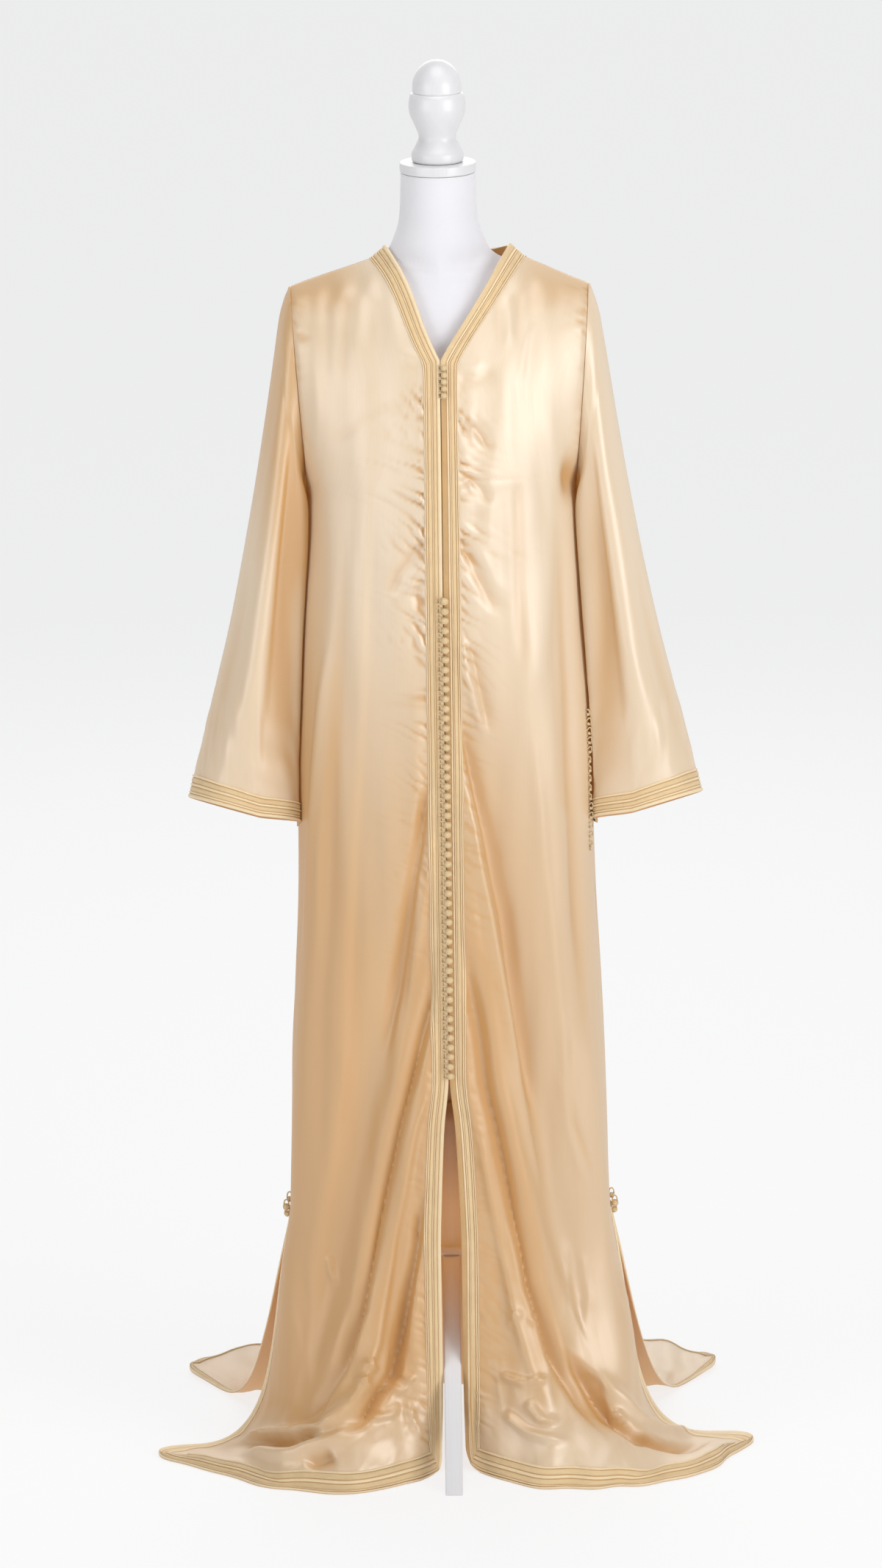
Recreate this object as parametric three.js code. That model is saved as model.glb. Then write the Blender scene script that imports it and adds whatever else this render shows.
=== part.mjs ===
// A takchita underpiece, the plain satin layer of a two-layer Moroccan dress, worn by a limbless
// dress form on a tripod stand. Millimetres, +Z up, front towards -Y, the wearer's left at +X.
// The satin panels are walls: every panel is a grid of points on its outer face, and its inner
// face is the same grid moved in by the wall. Braids are the panels' own edge cells, moved out.

import * as THREE from "three";

// ---------------------------------------------------------------- driving dimensions
const CLOTH_WALL = 2;
const BRAID_WALL = 1.6;
const BRAID_WIDTH = 20;
const SEAM_GAP = 0.3;

const SHOULDER = { neckX: 75, tipX: 181 };
const NECK_STAND = 9; // how far the neck braid stands up from the shoulder line
const NECK_STAND_FADE = [1, 0.7, 0.3]; // how much of that is left row by row down the front
const NECK_SHIFT = 11; // how far the neckline sits over towards the wearer's left
const ARMHOLE = { topX: 181, topZ: 1459, bottomX: 163, bottomZ: 1213, halfDepth: 58, steps: 8 };
const V_POINT_Z = 1387;
const NECK_RISE = 100; // from the point of the V up to where the neckline is fully over
const CENTRE_GAP = 1; // half the gap between the two front edges
const FRONT_SLIT_Z = 500;
const FLARE_Z = 300; // the top of the side slits: the panels curve out to the floor from here down
const FLARE_LEAN = 0.22; // how far out the side slits lean at the top, for each unit down
const FALL_RUN = 0.42; // how far a column keeps its fall, and then its landing, as shares of
const LANDING_RUN = 0.24; // the way from the top of the flare to the floor
const ROUNDNESS = 2.3; // exponent of the superellipse that a section follows
const CUFF_DROP = 15; // how much lower the back of a cuff hangs, and how much higher its front

const BUTTON = { radius: 4.8, pitch: 12.1, row: 50, topRow: 5, topPitch: 8, topRadius: 4, sides: 6 };

const LEG = { halfWidth: 10.6, reach: 44, footReach: 238, depth: 32 };
const STAND = { hubBottom: 250, postBottom: 440, torsoBottom: 700 };

// ---------------------------------------------------------------- tables
// Rows of the front, from the shoulder seam down. side: height at the armhole or side seam.
// centre, edge: height and place of the front edge. depth: how far forward the middle reaches.
const FRONT_ROWS = [
  { side: 1459, centre: 1499, edge: 75, depth: 2 },
  { side: 1449.6, centre: 1490, edge: 63, depth: 34 },
  { side: 1423, centre: 1468, edge: 47, depth: 62 },
  { side: 1383, centre: 1430, edge: 25.5, depth: 90 },
  { side: 1336, centre: V_POINT_Z, edge: CENTRE_GAP, depth: 110 },
  { side: 1289, centre: 1340, edge: CENTRE_GAP, depth: 123 },
  { side: 1249, centre: 1294, edge: CENTRE_GAP, depth: 131 },
  { side: ARMHOLE.bottomZ, centre: 1248, edge: CENTRE_GAP, depth: 136 },
  { side: 1150, centre: 1165, edge: CENTRE_GAP, depth: 139 },
  { side: 1060, centre: 1060, edge: CENTRE_GAP, depth: 138 },
  { side: 905, centre: 905, edge: CENTRE_GAP, depth: 136 },
  { side: 705, centre: 705, edge: CENTRE_GAP, depth: 137 },
  { side: FRONT_SLIT_Z, centre: FRONT_SLIT_Z, edge: CENTRE_GAP, depth: 137 },
  { side: 440, centre: 440, edge: 7, depth: 137 },
  { side: 370, centre: 370, edge: 10.4, depth: 137 },
  { side: FLARE_Z, centre: FLARE_Z, edge: 13, depth: 137 },
];
// Rows of the back. centre: height at the centre back, as if the shoulder line ran on over the
// neck, before the neckline is cut out of it.
const BACK_ROWS = [
  { side: 1459, centre: 1527, depth: 2 },
  { side: 1449.6, centre: 1512, depth: 33 },
  { side: 1423, centre: 1480, depth: 58 },
  { side: 1383, centre: 1440, depth: 80 },
  { side: 1336, centre: 1391, depth: 92 },
  { side: 1289, centre: 1340, depth: 99 },
  { side: 1249, centre: 1294, depth: 102 },
  { side: ARMHOLE.bottomZ, centre: 1248, depth: 102 },
  { side: 1150, centre: 1165, depth: 100 },
  { side: 1060, centre: 1060, depth: 101 },
  { side: 905, centre: 905, depth: 109 },
  { side: 705, centre: 705, depth: 117 },
  { side: FRONT_SLIT_Z, centre: FRONT_SLIT_Z, depth: 123 },
  { side: FLARE_Z, centre: FLARE_Z, depth: 128 },
];
const NECKLINE_DROP = 28; // how far down the back rows the neckline is cut at the centre back
// Half-width of the dress at the side seam.
const SIDE_SEAM = [
  { z: ARMHOLE.bottomZ, x: ARMHOLE.bottomX },
  { z: 1180, x: 163.5 },
  { z: 1075, x: 170 },
  { z: 979, x: 176 },
  { z: 880, x: 180 },
  { z: 715, x: 181.5 },
  { z: 604, x: 187 },
  { z: 435, x: 194 },
  { z: FLARE_Z, x: 196 },
];
// Where each panel reaches the floor, as seen from above. share: 0 at the front edge or centre
// back, 1 at the side slit. touch: where it meets the floor. hem: its edge. slope: degrees there.
const FLOOR_FRONT_RIGHT = [
  { share: 0, touchX: 16.5, touchY: -138, hemX: 16.5, hemY: -140, slope: 84 },
  { share: 0.2, touchX: 52, touchY: -187, hemX: 52, hemY: -190, slope: 66 },
  { share: 0.42, touchX: 125, touchY: -223, hemX: 126, hemY: -227, slope: 52 },
  { share: 0.66, touchX: 204, touchY: -200, hemX: 209, hemY: -207, slope: 40 },
  { share: 0.85, touchX: 258, touchY: -118, hemX: 290, hemY: -140, slope: 24 },
  { share: 1, touchX: 286, touchY: -28, hemX: 363, hemY: -52, slope: 12 },
];
const FLOOR_FRONT_LEFT = [
  { share: 0, touchX: 16, touchY: -124, hemX: 16, hemY: -126, slope: 84 },
  { share: 0.2, touchX: 60, touchY: -178, hemX: 60, hemY: -181, slope: 66 },
  { share: 0.42, touchX: 126, touchY: -214, hemX: 127, hemY: -218, slope: 52 },
  { share: 0.66, touchX: 214, touchY: -212, hemX: 220, hemY: -219, slope: 40 },
  { share: 0.85, touchX: 270, touchY: -134, hemX: 302, hemY: -156, slope: 24 },
  { share: 1, touchX: 290, touchY: -4, hemX: 369, hemY: -18, slope: 12 },
];
const FLOOR_BACK = [
  { share: 0, touchX: 0, touchY: 226, hemX: 0, hemY: 440, slope: 14 },
  { share: 0.3, touchX: 88, touchY: 224, hemX: 112, hemY: 432, slope: 14 },
  { share: 0.6, touchX: 178, touchY: 222, hemX: 222, hemY: 408, slope: 14 },
  { share: 0.85, touchX: 248, touchY: 200, hemX: 294, hemY: 352, slope: 16 },
  { share: 1, touchX: 279, touchY: 196, hemX: 327, hemY: 316, slope: 16 },
];
// The largest folds. top, end: heights between which a fold runs. from, to: its share across the
// panel at those heights. wide: its half-width as a share. out: how far it stands out, or in.
const FOLDS_FRONT_RIGHT = [
  { top: 760, end: 10, from: 0.14, to: 0.74, wide: 0.13, out: -16 },
  { top: 640, end: 20, from: 0.12, to: 0.46, wide: 0.11, out: 9 },
  { top: 430, end: 30, from: 0.2, to: 0.24, wide: 0.09, out: -8 },
  { top: 1200, end: 40, from: 0.5, to: 0.92, wide: 0.11, out: 6 },
  { top: 1350, end: 350, from: 0.36, to: 0.5, wide: 0.12, out: -5 },
];
const FOLDS_FRONT_LEFT = [
  { top: 1010, end: 10, from: 0.14, to: 0.68, wide: 0.12, out: -17 },
  { top: 900, end: 20, from: 0.12, to: 0.36, wide: 0.1, out: 9 },
  { top: 1150, end: 40, from: 0.36, to: 0.9, wide: 0.12, out: 8 },
  { top: 1330, end: 500, from: 0.62, to: 0.66, wide: 0.11, out: -5 },
];
// Folds of the back, from one side seam (share -1) over the centre (0) to the other (1).
const FOLDS_BACK = [
  { top: 1240, end: 20, from: -0.16, to: -0.3, wide: 0.1, out: 10 },
  { top: 1180, end: 20, from: 0.2, to: 0.26, wide: 0.11, out: 11 },
  { top: 900, end: 20, from: 0.02, to: -0.02, wide: 0.08, out: -9 },
  { top: 1000, end: 30, from: -0.5, to: -0.62, wide: 0.09, out: -8 },
  { top: 860, end: 30, from: 0.52, to: 0.64, wide: 0.09, out: -9 },
];
// Rings of a sleeve, from the armhole (share 0) to the cuff (1). top: its outer line. under: the
// line that lies along the side of the dress. halfDepth: half its reach from front to back.
const SLEEVE_RINGS = [
  { share: 0, topX: 181.3, topZ: 1459, underX: 163.3, underZ: 1213, halfDepth: 58 },
  { share: 0.04, topX: 192, topZ: 1433, underX: 166, underZ: 1197, halfDepth: 61 },
  { share: 0.11, topX: 199, topZ: 1390, underX: 168.5, underZ: 1172, halfDepth: 63 },
  { share: 0.24, topX: 212, topZ: 1305, underX: 173, underZ: 1122, halfDepth: 65 },
  { share: 0.43, topX: 236, topZ: 1165, underX: 179.5, underZ: 1040, halfDepth: 65 },
  { share: 0.65, topX: 264, topZ: 1028, underX: 185, underZ: 946, halfDepth: 63 },
  { share: 0.85, topX: 295, topZ: 905, underX: 187, underZ: 852, halfDepth: 60 },
  { share: 1, topX: 314, topZ: 824, underX: 187, underZ: 786, halfDepth: 57 },
];
// Folds of a sleeve. from, to: degrees round it, 0 on the outer line and 90 at the front.
const FOLDS_SLEEVE = [
  { from: 100, to: 128, wide: 16, out: -9, start: 0.06, end: 0.96 },
  { from: 68, to: 84, wide: 20, out: 5, start: 0.1, end: 0.9 },
  { from: 262, to: 240, wide: 20, out: -7, start: 0.1, end: 0.92 },
];
// Sections of the dress form. z: height. wide, front, back: its reach each way. round: exponent.
const FORM_SECTIONS = [
  { z: STAND.torsoBottom, wide: 120, front: 82, back: 74, round: 2.2 },
  { z: 716, wide: 136, front: 96, back: 82, round: 2.2 },
  { z: 800, wide: 145, front: 103, back: 86, round: 2.2 },
  { z: 900, wide: 142, front: 100, back: 83, round: 2.2 },
  { z: 1050, wide: 118, front: 93, back: 70, round: 2.1 },
  { z: 1150, wide: 130, front: 110, back: 78, round: 2.1 },
  { z: 1240, wide: 146, front: 122, back: 86, round: 2.1 },
  { z: 1300, wide: 154, front: 115, back: 88, round: 2.1 },
  { z: 1360, wide: 162, front: 102, back: 82, round: 2.05 },
  { z: 1410, wide: 168, front: 86, back: 72, round: 1.95 },
  { z: 1440, wide: 171, front: 72, back: 62, round: 1.8 },
  { z: 1452, wide: 169, front: 64, back: 56, round: 1.65 },
  { z: 1460.4, wide: 165, front: 60, back: 52, round: 1.45 },
  { z: 1469.4, wide: 142, front: 55, back: 47, round: 1.3 },
  { z: 1482.9, wide: 99, front: 49, back: 43, round: 1.22 },
  { z: 1494.8, wide: 65, front: 47, back: 42, round: 1.35 },
  { z: 1509, wide: 58, front: 47, back: 42, round: 1.85 },
  { z: 1544, wide: 47, front: 46, back: 42, round: 2 },
  { z: 1597.5, wide: 45, front: 45, back: 42, round: 2 },
];
// Profiles of the turned parts: radius and height, from the bottom up.
const NECK_DISC = [
  { radius: 44, z: 1597.8 },
  { radius: 46, z: 1600 },
  { radius: 46, z: 1608 },
  { radius: 44, z: 1610 },
];
const FINIAL = [
  { radius: 29, z: 1610.3 },
  { radius: 31.5, z: 1614 },
  { radius: 31, z: 1622 },
  { radius: 26, z: 1631 },
  { radius: 22.5, z: 1641 },
  { radius: 27.5, z: 1655 },
  { radius: 33, z: 1668 },
  { radius: 34.5, z: 1678 },
  { radius: 33, z: 1690 },
  { radius: 30, z: 1695 },
  { radius: 29.4, z: 1706 },
  { radius: 25.5, z: 1718 },
  { radius: 17, z: 1728.5 },
  { radius: 7, z: 1733.5 },
];
const FINIAL_TOP = 1734.5;
const HUB = [
  { radius: 46, z: STAND.hubBottom },
  { radius: 49, z: STAND.hubBottom + 3 },
  { radius: 49, z: STAND.hubBottom + 10 },
  { radius: 43, z: STAND.hubBottom + 13 },
  { radius: 43, z: STAND.postBottom - 20 },
  { radius: 30, z: STAND.postBottom },
];
const POST = [
  { radius: 20, z: STAND.postBottom + SEAM_GAP },
  { radius: 20, z: STAND.torsoBottom - SEAM_GAP },
];

const SATIN = new THREE.MeshStandardMaterial({ color: 0xe6c698, roughness: 0.38, metalness: 0 });
const BRAID = new THREE.MeshStandardMaterial({ color: 0xcdb07a, roughness: 0.42, metalness: 0.35 });
const KNOTS = new THREE.MeshStandardMaterial({ color: 0xdcc193, roughness: 0.5, metalness: 0.2 });
const JERSEY = new THREE.MeshStandardMaterial({ color: 0xf0eff2, roughness: 0.9, metalness: 0 });
const PAINTED = new THREE.MeshStandardMaterial({ color: 0xebebec, roughness: 0.4, metalness: 0 });

// ---------------------------------------------------------------- curves through the tables
const clamp = (value, low, high) => Math.min(high, Math.max(low, value));
const lerp = (a, b, t) => a + (b - a) * t;
const smooth = (t) => {
  const c = clamp(t, 0, 1);
  return c * c * (3 - 2 * c);
};

// One column of a table at a place along its key column: a Hermite curve through the rows whose
// slopes never overshoot.
function read(table, key, column, at) {
  const forward = table[table.length - 1][key] > table[0][key] ? 1 : -1;
  const place = (k) => table[k][key] * forward;
  const last = table.length - 1;
  const x = clamp(at * forward, place(0), place(last));
  let i = 0;
  while (i < last - 1 && x > place(i + 1)) i += 1;
  const rise = (k) => (table[k + 1][column] - table[k][column]) / (place(k + 1) - place(k));
  const slope = (k) => {
    if (k === 0) return rise(0);
    if (k === last) return rise(k - 1);
    const before = rise(k - 1);
    const after = rise(k);
    return before * after <= 0 ? 0 : (2 * before * after) / (before + after);
  };
  const step = place(i + 1) - place(i);
  const t = (x - place(i)) / step;
  const ends = lerp(table[i][column], table[i + 1][column], t * t * (3 - 2 * t));
  return ends + step * (slope(i) * (t ** 3 - 2 * t ** 2 + t) + slope(i + 1) * (t ** 3 - t ** 2));
}

// The armhole is an oval that leans in towards the underarm.
const armholeHalf = (ARMHOLE.topZ - ARMHOLE.bottomZ) / 2;
const armholeMiddle = ARMHOLE.bottomZ + armholeHalf;
const armholeHeight = (step) => armholeMiddle + armholeHalf * Math.cos((Math.PI * step) / ARMHOLE.steps);
function armholeAt(z) {
  const cos = clamp((z - armholeMiddle) / armholeHalf, -1, 1);
  return {
    x: lerp(ARMHOLE.bottomX, ARMHOLE.topX, (cos + 1) / 2),
    y: ARMHOLE.halfDepth * Math.sqrt(1 - cos * cos),
  };
}

// How much a fold of a body panel stands out at a share across and a height. No fold reaches the
// edges of a panel, where it is sewn or stiff with braid.
const FOLD_FADE = { top: 160, end: 90, edge: 0.09 };
function foldsAt(folds, share, z, innerEdge) {
  const inner = innerEdge ? smooth(share / FOLD_FADE.edge) : 1;
  const edges = inner * smooth((1 - Math.abs(share)) / FOLD_FADE.edge);
  let sum = 0;
  for (const f of folds) {
    const t = clamp((f.top - z) / (f.top - f.end), 0, 1);
    const across = (share - lerp(f.from, f.to, t)) / f.wide;
    const along = smooth((f.top - z) / FOLD_FADE.top) * smooth((z - f.end) / FOLD_FADE.end);
    sum += f.out * along * Math.exp(-across * across);
  }
  return sum * edges;
}

// ---------------------------------------------------------------- curves of points
function measured(points) {
  const lengths = [0];
  for (let k = 1; k < points.length; k += 1)
    lengths.push(lengths[k - 1] + points[k].distanceTo(points[k - 1]));
  return { points, lengths, length: lengths[lengths.length - 1] };
}

function alongCurve(curve, distance) {
  const d = clamp(distance, 0, curve.length);
  let k = 1;
  while (k < curve.points.length - 1 && curve.lengths[k] < d) k += 1;
  const t = (d - curve.lengths[k - 1]) / (curve.lengths[k] - curve.lengths[k - 1]);
  return curve.points[k - 1].clone().lerp(curve.points[k], t);
}

// ---------------------------------------------------------------- body panels
// One row of a panel, from its inner edge to the armhole or side seam, along a superellipse.
// side: the row's height there. face: -1 for the front, 1 for the back.
const ROW_STEPS = 40;
function rowCurve(rows, side, face) {
  const at = (column) => read(rows, "side", column, side);
  const inner = rows === FRONT_ROWS ? at("edge") : 0;
  const depth = at("depth");
  const outer = side > ARMHOLE.bottomZ ? armholeAt(side) : { x: read(SIDE_SEAM, "z", "x", side), y: 0 };
  const reach = Math.min(outer.y, depth * 0.97);
  const width = outer.x / (1 - (reach / depth) ** ROUNDNESS) ** (1 / ROUNDNESS);
  const angle = (x) => Math.asin(clamp((x / width) ** (ROUNDNESS / 2), 0, 1));
  const points = Array.from({ length: ROW_STEPS + 1 }, (_, k) => {
    const a = lerp(angle(inner), angle(outer.x), k / ROW_STEPS);
    const x = width * Math.sin(a) ** (2 / ROUNDNESS);
    const y = depth * Math.max(Math.cos(a), 0) ** (2 / ROUNDNESS);
    const z = lerp(at("centre"), side, clamp((x - inner) / (outer.x - inner), 0, 1));
    return new THREE.Vector3(x, face * Math.max(y, SEAM_GAP / 2), z);
  });
  return measured(points);
}

// The column of a panel below the flare: it bends out to where it touches the floor, and lies on
// the floor from there to the hem.
function flareCurve(start, floor, share) {
  const at = (column) => read(floor, "share", column, share);
  const face = Math.sign(at("hemY"));
  const touch = new THREE.Vector3(at("touchX"), at("touchY"), CLOTH_WALL);
  const hem = new THREE.Vector3(at("hemX"), at("hemY"), CLOTH_WALL);
  const away = new THREE.Vector3(hem.x - start.x, hem.y - start.y, 0);
  if (away.length() < 1) away.set(0, face, 0);
  away.normalize();
  const slope = (at("slope") * Math.PI) / 180;
  const fall = FALL_RUN * start.distanceTo(touch);
  const land = LANDING_RUN * start.distanceTo(touch);
  const falling = start.clone().add(new THREE.Vector3(FLARE_LEAN * share ** 2 * fall, 0, -fall));
  const landing = touch.clone().addScaledVector(away, -land * Math.cos(slope));
  landing.z += land * Math.sin(slope);
  return measured([...new THREE.CubicBezierCurve3(start, falling, landing, touch).getPoints(30), hem]);
}

// Heights of the rows above the flare: one for each step round the armhole, then down the side.
const SIDE_HEIGHTS = [1180, 1130, 1060, 980, 890, 800, 705, 600, FRONT_SLIT_Z, 400, FLARE_Z];
const ROW_SIDES = [
  ...Array.from({ length: ARMHOLE.steps + 1 }, (_, k) => armholeHeight(k)),
  ...SIDE_HEIGHTS,
];
const LOWER_CELLS = 8;
const neckShare = SHOULDER.neckX / SHOULDER.tipX; // the share of a back row that lies inside the neck
const NECK_POINT = { rise: 0.45, wide: 0.13 }; // keeps the back's neck braid even at the neck points

// Half of a body panel, with x positive, as rows of points from its inner edge to its side. across:
// the columns' shares of the first row; lower rows even them out, with a braid's width at the side.
// firstSide: where each column starts, if a neckline is cut; the next row then lies a braid below.
function halfPanel({ rows, face, across, folds, floor, firstSide, sign = 1 }) {
  const cells = across.length - 1;
  const even = (k, length, fromEdge) => {
    const braid = BRAID_WIDTH / length;
    const first = fromEdge ? braid : 0;
    if (k === 0) return 0;
    if (k === cells) return 1;
    return fromEdge
      ? lerp(first, 1 - braid, (k - 1) / (cells - 2))
      : lerp(0, 1 - braid, k / (cells - 1));
  };
  const braidedEdge = rows === FRONT_ROWS;
  const lastArm = ARMHOLE.steps;
  const grid = ROW_SIDES.map((nominal, i) =>
    across.map((share, k) => {
      const top = firstSide ? firstSide(share) : ROW_SIDES[0];
      const t = (ROW_SIDES[0] - nominal) / (ROW_SIDES[0] - ROW_SIDES[lastArm]);
      const fromNeck = (share - neckShare) / NECK_POINT.wide;
      const near = firstSide && i === 1 ? NECK_POINT.rise * Math.exp(-fromNeck * fromNeck) : 0;
      const side = i < lastArm ? lerp(top, ROW_SIDES[lastArm], t * (1 - near)) : nominal;
      const curve = rowCurve(rows, side, face);
      const spread = smooth(i / (lastArm + 1));
      const edgeShare = braidedEdge && k === 1 ? BRAID_WIDTH / curve.length : null;
      const place = edgeShare ?? lerp(share, even(k, curve.length, braidedEdge), spread);
      return { point: alongCurve(curve, place * curve.length), place };
    }),
  );
  const bottom = grid[grid.length - 1];
  const columns = bottom.map(({ point, place }) => flareCurve(point, floor, place));
  for (let i = 1; i <= LOWER_CELLS; i += 1)
    grid.push(
      columns.map((curve, k) => {
        const plain = ((curve.length - BRAID_WIDTH) * i) / (LOWER_CELLS - 1);
        const distance = i === LOWER_CELLS ? curve.length : plain;
        return { point: alongCurve(curve, distance), place: bottom[k].place };
      }),
    );
  const flat = grid.map((line) => line.map(({ point }) => point));
  const normals = gridNormals(flat, face);
  return grid.map((line, i) =>
    line.map(({ point, place }, k) => {
      const out = foldsAt(folds, place * sign, point.z, braidedEdge);
      const moved = point.clone().addScaledVector(normals[i][k], out);
      moved.z = Math.max(moved.z, CLOTH_WALL);
      return moved;
    }),
  );
}

// The neck braid stands up from the shoulder line: the edge points near the neck are raised.
function raiseNeck(grid, edgeOnly) {
  const fade = edgeOnly ? NECK_STAND_FADE : [1];
  fade.forEach((amount, i) =>
    grid[i].forEach((p, k) => {
      if (edgeOnly ? k === 0 : Math.abs(p.x) < SHOULDER.neckX + 1) p.z += NECK_STAND * amount;
    }),
  );
  return grid;
}

// The neckline sits a little to one side: points near the neck move over, those at the armholes
// and below the V don't.
function shiftNeck(grid) {
  for (const p of grid.flat()) {
    const inward = smooth((SHOULDER.tipX - Math.abs(p.x)) / (SHOULDER.tipX - SHOULDER.neckX));
    p.x += NECK_SHIFT * inward * smooth((p.z - V_POINT_Z) / NECK_RISE);
  }
  return grid;
}

// Unit normals of a grid of points, all on the side that `outward` gives: 1 or -1.
function gridNormals(grid, outward) {
  return grid.map((line, i) =>
    line.map((_, k) => {
      const up = grid[Math.max(i - 1, 0)][k];
      const low = grid[Math.min(i + 1, grid.length - 1)][k];
      const left = line[Math.max(k - 1, 0)];
      const right = line[Math.min(k + 1, line.length - 1)];
      const across = right.clone().sub(left);
      return across.cross(low.clone().sub(up)).normalize().multiplyScalar(outward);
    }),
  );
}

// ---------------------------------------------------------------- solids
const mirrored = (grid) =>
  grid.map((line) => line.map((p) => new THREE.Vector3(-p.x, p.y, p.z)).reverse());

function solid(grids, index) {
  const positions = grids.flat(2).flatMap((p) => [p.x, p.y, p.z]);
  const at = (k) => new THREE.Vector3().fromArray(positions, index[k] * 3);
  let volume = 0;
  for (let k = 0; k < index.length; k += 3) volume += at(k).dot(at(k + 1).cross(at(k + 2)));
  const facingOut = volume > 0 ? index : [...index].reverse();
  const geometry = new THREE.BufferGeometry();
  geometry.setAttribute("position", new THREE.Float32BufferAttribute(positions, 3));
  geometry.setIndex(facingOut);
  return geometry;
}

// A closed wall between two grids of the same size: the outer face, the inner face and the rim.
function wallBetween(outer, inner) {
  const rows = outer.length;
  const cols = outer[0].length;
  const id = (side, i, k) => side * rows * cols + i * cols + k;
  const index = [];
  const quad = (a, b, c, d) => index.push(a, b, c, a, c, d);
  for (let i = 0; i < rows - 1; i += 1)
    for (let k = 0; k < cols - 1; k += 1) {
      quad(id(0, i, k), id(0, i + 1, k), id(0, i + 1, k + 1), id(0, i, k + 1));
      quad(id(1, i, k), id(1, i, k + 1), id(1, i + 1, k + 1), id(1, i + 1, k));
    }
  for (let i = 0; i < rows - 1; i += 1) {
    quad(id(0, i, 0), id(1, i, 0), id(1, i + 1, 0), id(0, i + 1, 0));
    quad(id(0, i + 1, cols - 1), id(1, i + 1, cols - 1), id(1, i, cols - 1), id(0, i, cols - 1));
  }
  for (let k = 0; k < cols - 1; k += 1) {
    quad(id(0, 0, k + 1), id(1, 0, k + 1), id(1, 0, k), id(0, 0, k));
    quad(id(0, rows - 1, k), id(1, rows - 1, k), id(1, rows - 1, k + 1), id(0, rows - 1, k + 1));
  }
  return solid([outer, inner], index);
}

// A solid through rings of points, with flat ends; or, with inner rings, the wall of a tube.
function ringSolid(rings, innerRings) {
  const count = rings[0].length;
  const end = rings.length - 1;
  const id = (side, i, k) => (side * rings.length + i) * count + (k % count);
  const index = [];
  const quad = (a, b, c, d) => index.push(a, b, c, a, c, d);
  for (let i = 0; i < end; i += 1)
    for (let k = 0; k < count; k += 1) {
      quad(id(0, i, k), id(0, i + 1, k), id(0, i + 1, k + 1), id(0, i, k + 1));
      if (innerRings) quad(id(1, i, k), id(1, i, k + 1), id(1, i + 1, k + 1), id(1, i + 1, k));
    }
  if (innerRings)
    for (let k = 0; k < count; k += 1) {
      quad(id(0, 0, k + 1), id(1, 0, k + 1), id(1, 0, k), id(0, 0, k));
      quad(id(0, end, k), id(1, end, k), id(1, end, k + 1), id(0, end, k + 1));
    }
  else
    for (let k = 1; k < count - 1; k += 1) {
      index.push(id(0, 0, 0), id(0, 0, k), id(0, 0, k + 1));
      index.push(id(0, end, 0), id(0, end, k + 1), id(0, end, k));
    }
  return solid(innerRings ? [rings, innerRings] : [rings], index);
}

const movedBy = (grid, normals, distance) =>
  grid.map((line, i) =>
    line.map((p, k) => {
      const q = p.clone().addScaledVector(normals[i][k], distance);
      q.z = Math.max(q.z, 0);
      return q;
    }),
  );

// A panel: its grid, the normals that point out of the dress, and the wall inside it. Normals on
// the shoulder and side seams lie in the seam's own plane, so that two panels meet and don't cross.
function panelOf(grid, face) {
  const normals = gridNormals(grid, face);
  const onSeam = (p) => Math.abs(p.y) < SEAM_GAP;
  grid.forEach((line, i) =>
    line.forEach((p, k) => {
      if (onSeam(p)) normals[i][k].setY(0).normalize();
    }),
  );
  return { grid, normals, geometry: wallBetween(grid, movedBy(grid, normals, -CLOTH_WALL)) };
}

const cut = (grid, rows, cols) =>
  grid.slice(rows[0], rows[1] + 1).map((line) => line.slice(cols[0], cols[1] + 1));

// A braid on the cells of a panel between given rows and columns. drawBack: the last row's points
// stop this much short, so that it clears the braid that crosses its end.
function braidOn(panel, rows, cols, drawBack = 0) {
  const grid = cut(panel.grid, rows, cols).map((line) => line.map((p) => p.clone()));
  const normals = cut(panel.normals, rows, cols);
  const end = grid.length - 1;
  grid[end].forEach((p, k) => p.addScaledVector(grid[end - 1][k].clone().sub(p).normalize(), drawBack));
  const under = movedBy(grid, normals, SEAM_GAP);
  const over = movedBy(grid, normals, SEAM_GAP + BRAID_WALL);
  return wallBetween(over, under);
}

// ---------------------------------------------------------------- parts
const part = new THREE.Group();
function add(name, geometry, material) {
  const mesh = new THREE.Mesh(geometry, material.clone());
  mesh.name = name;
  part.add(mesh);
}

const FRONT_CELLS = 12;
const shoulderRun = SHOULDER.tipX - SHOULDER.neckX;
const frontAcross = Array.from({ length: FRONT_CELLS + 1 }, (_, k) =>
  k === 0 ? 0 : lerp(BRAID_WIDTH / shoulderRun, 1, (k - 1) / (FRONT_CELLS - 1)),
);
const frontHalf = (folds, floor) =>
  raiseNeck(halfPanel({ rows: FRONT_ROWS, face: -1, across: frontAcross, folds, floor }), true);

// The columns of the back's first row fall on the neck point and on the end of the neck braid.
const braidShare = (SHOULDER.neckX + BRAID_WIDTH) / SHOULDER.tipX;
const backAcross = [
  ...[0, 0.25, 0.5, 0.75, 0.93].map((t) => t * neckShare),
  neckShare,
  ...[0, 0.2, 0.4, 0.6, 0.8, 1].map((t) => lerp(braidShare, 1, t)),
];
const neckColumn = backAcross.indexOf(neckShare);
const necklineSide = (share) => {
  const x = Math.min(share / neckShare, 1);
  return ARMHOLE.topZ - NECKLINE_DROP * (1 - x * x) ** 0.75;
};
const backHalf = (sign) =>
  raiseNeck(
    halfPanel({
      rows: BACK_ROWS,
      face: 1,
      across: backAcross,
      folds: FOLDS_BACK,
      floor: FLOOR_BACK,
      firstSide: necklineSide,
      sign,
    }),
    false,
  );

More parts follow.
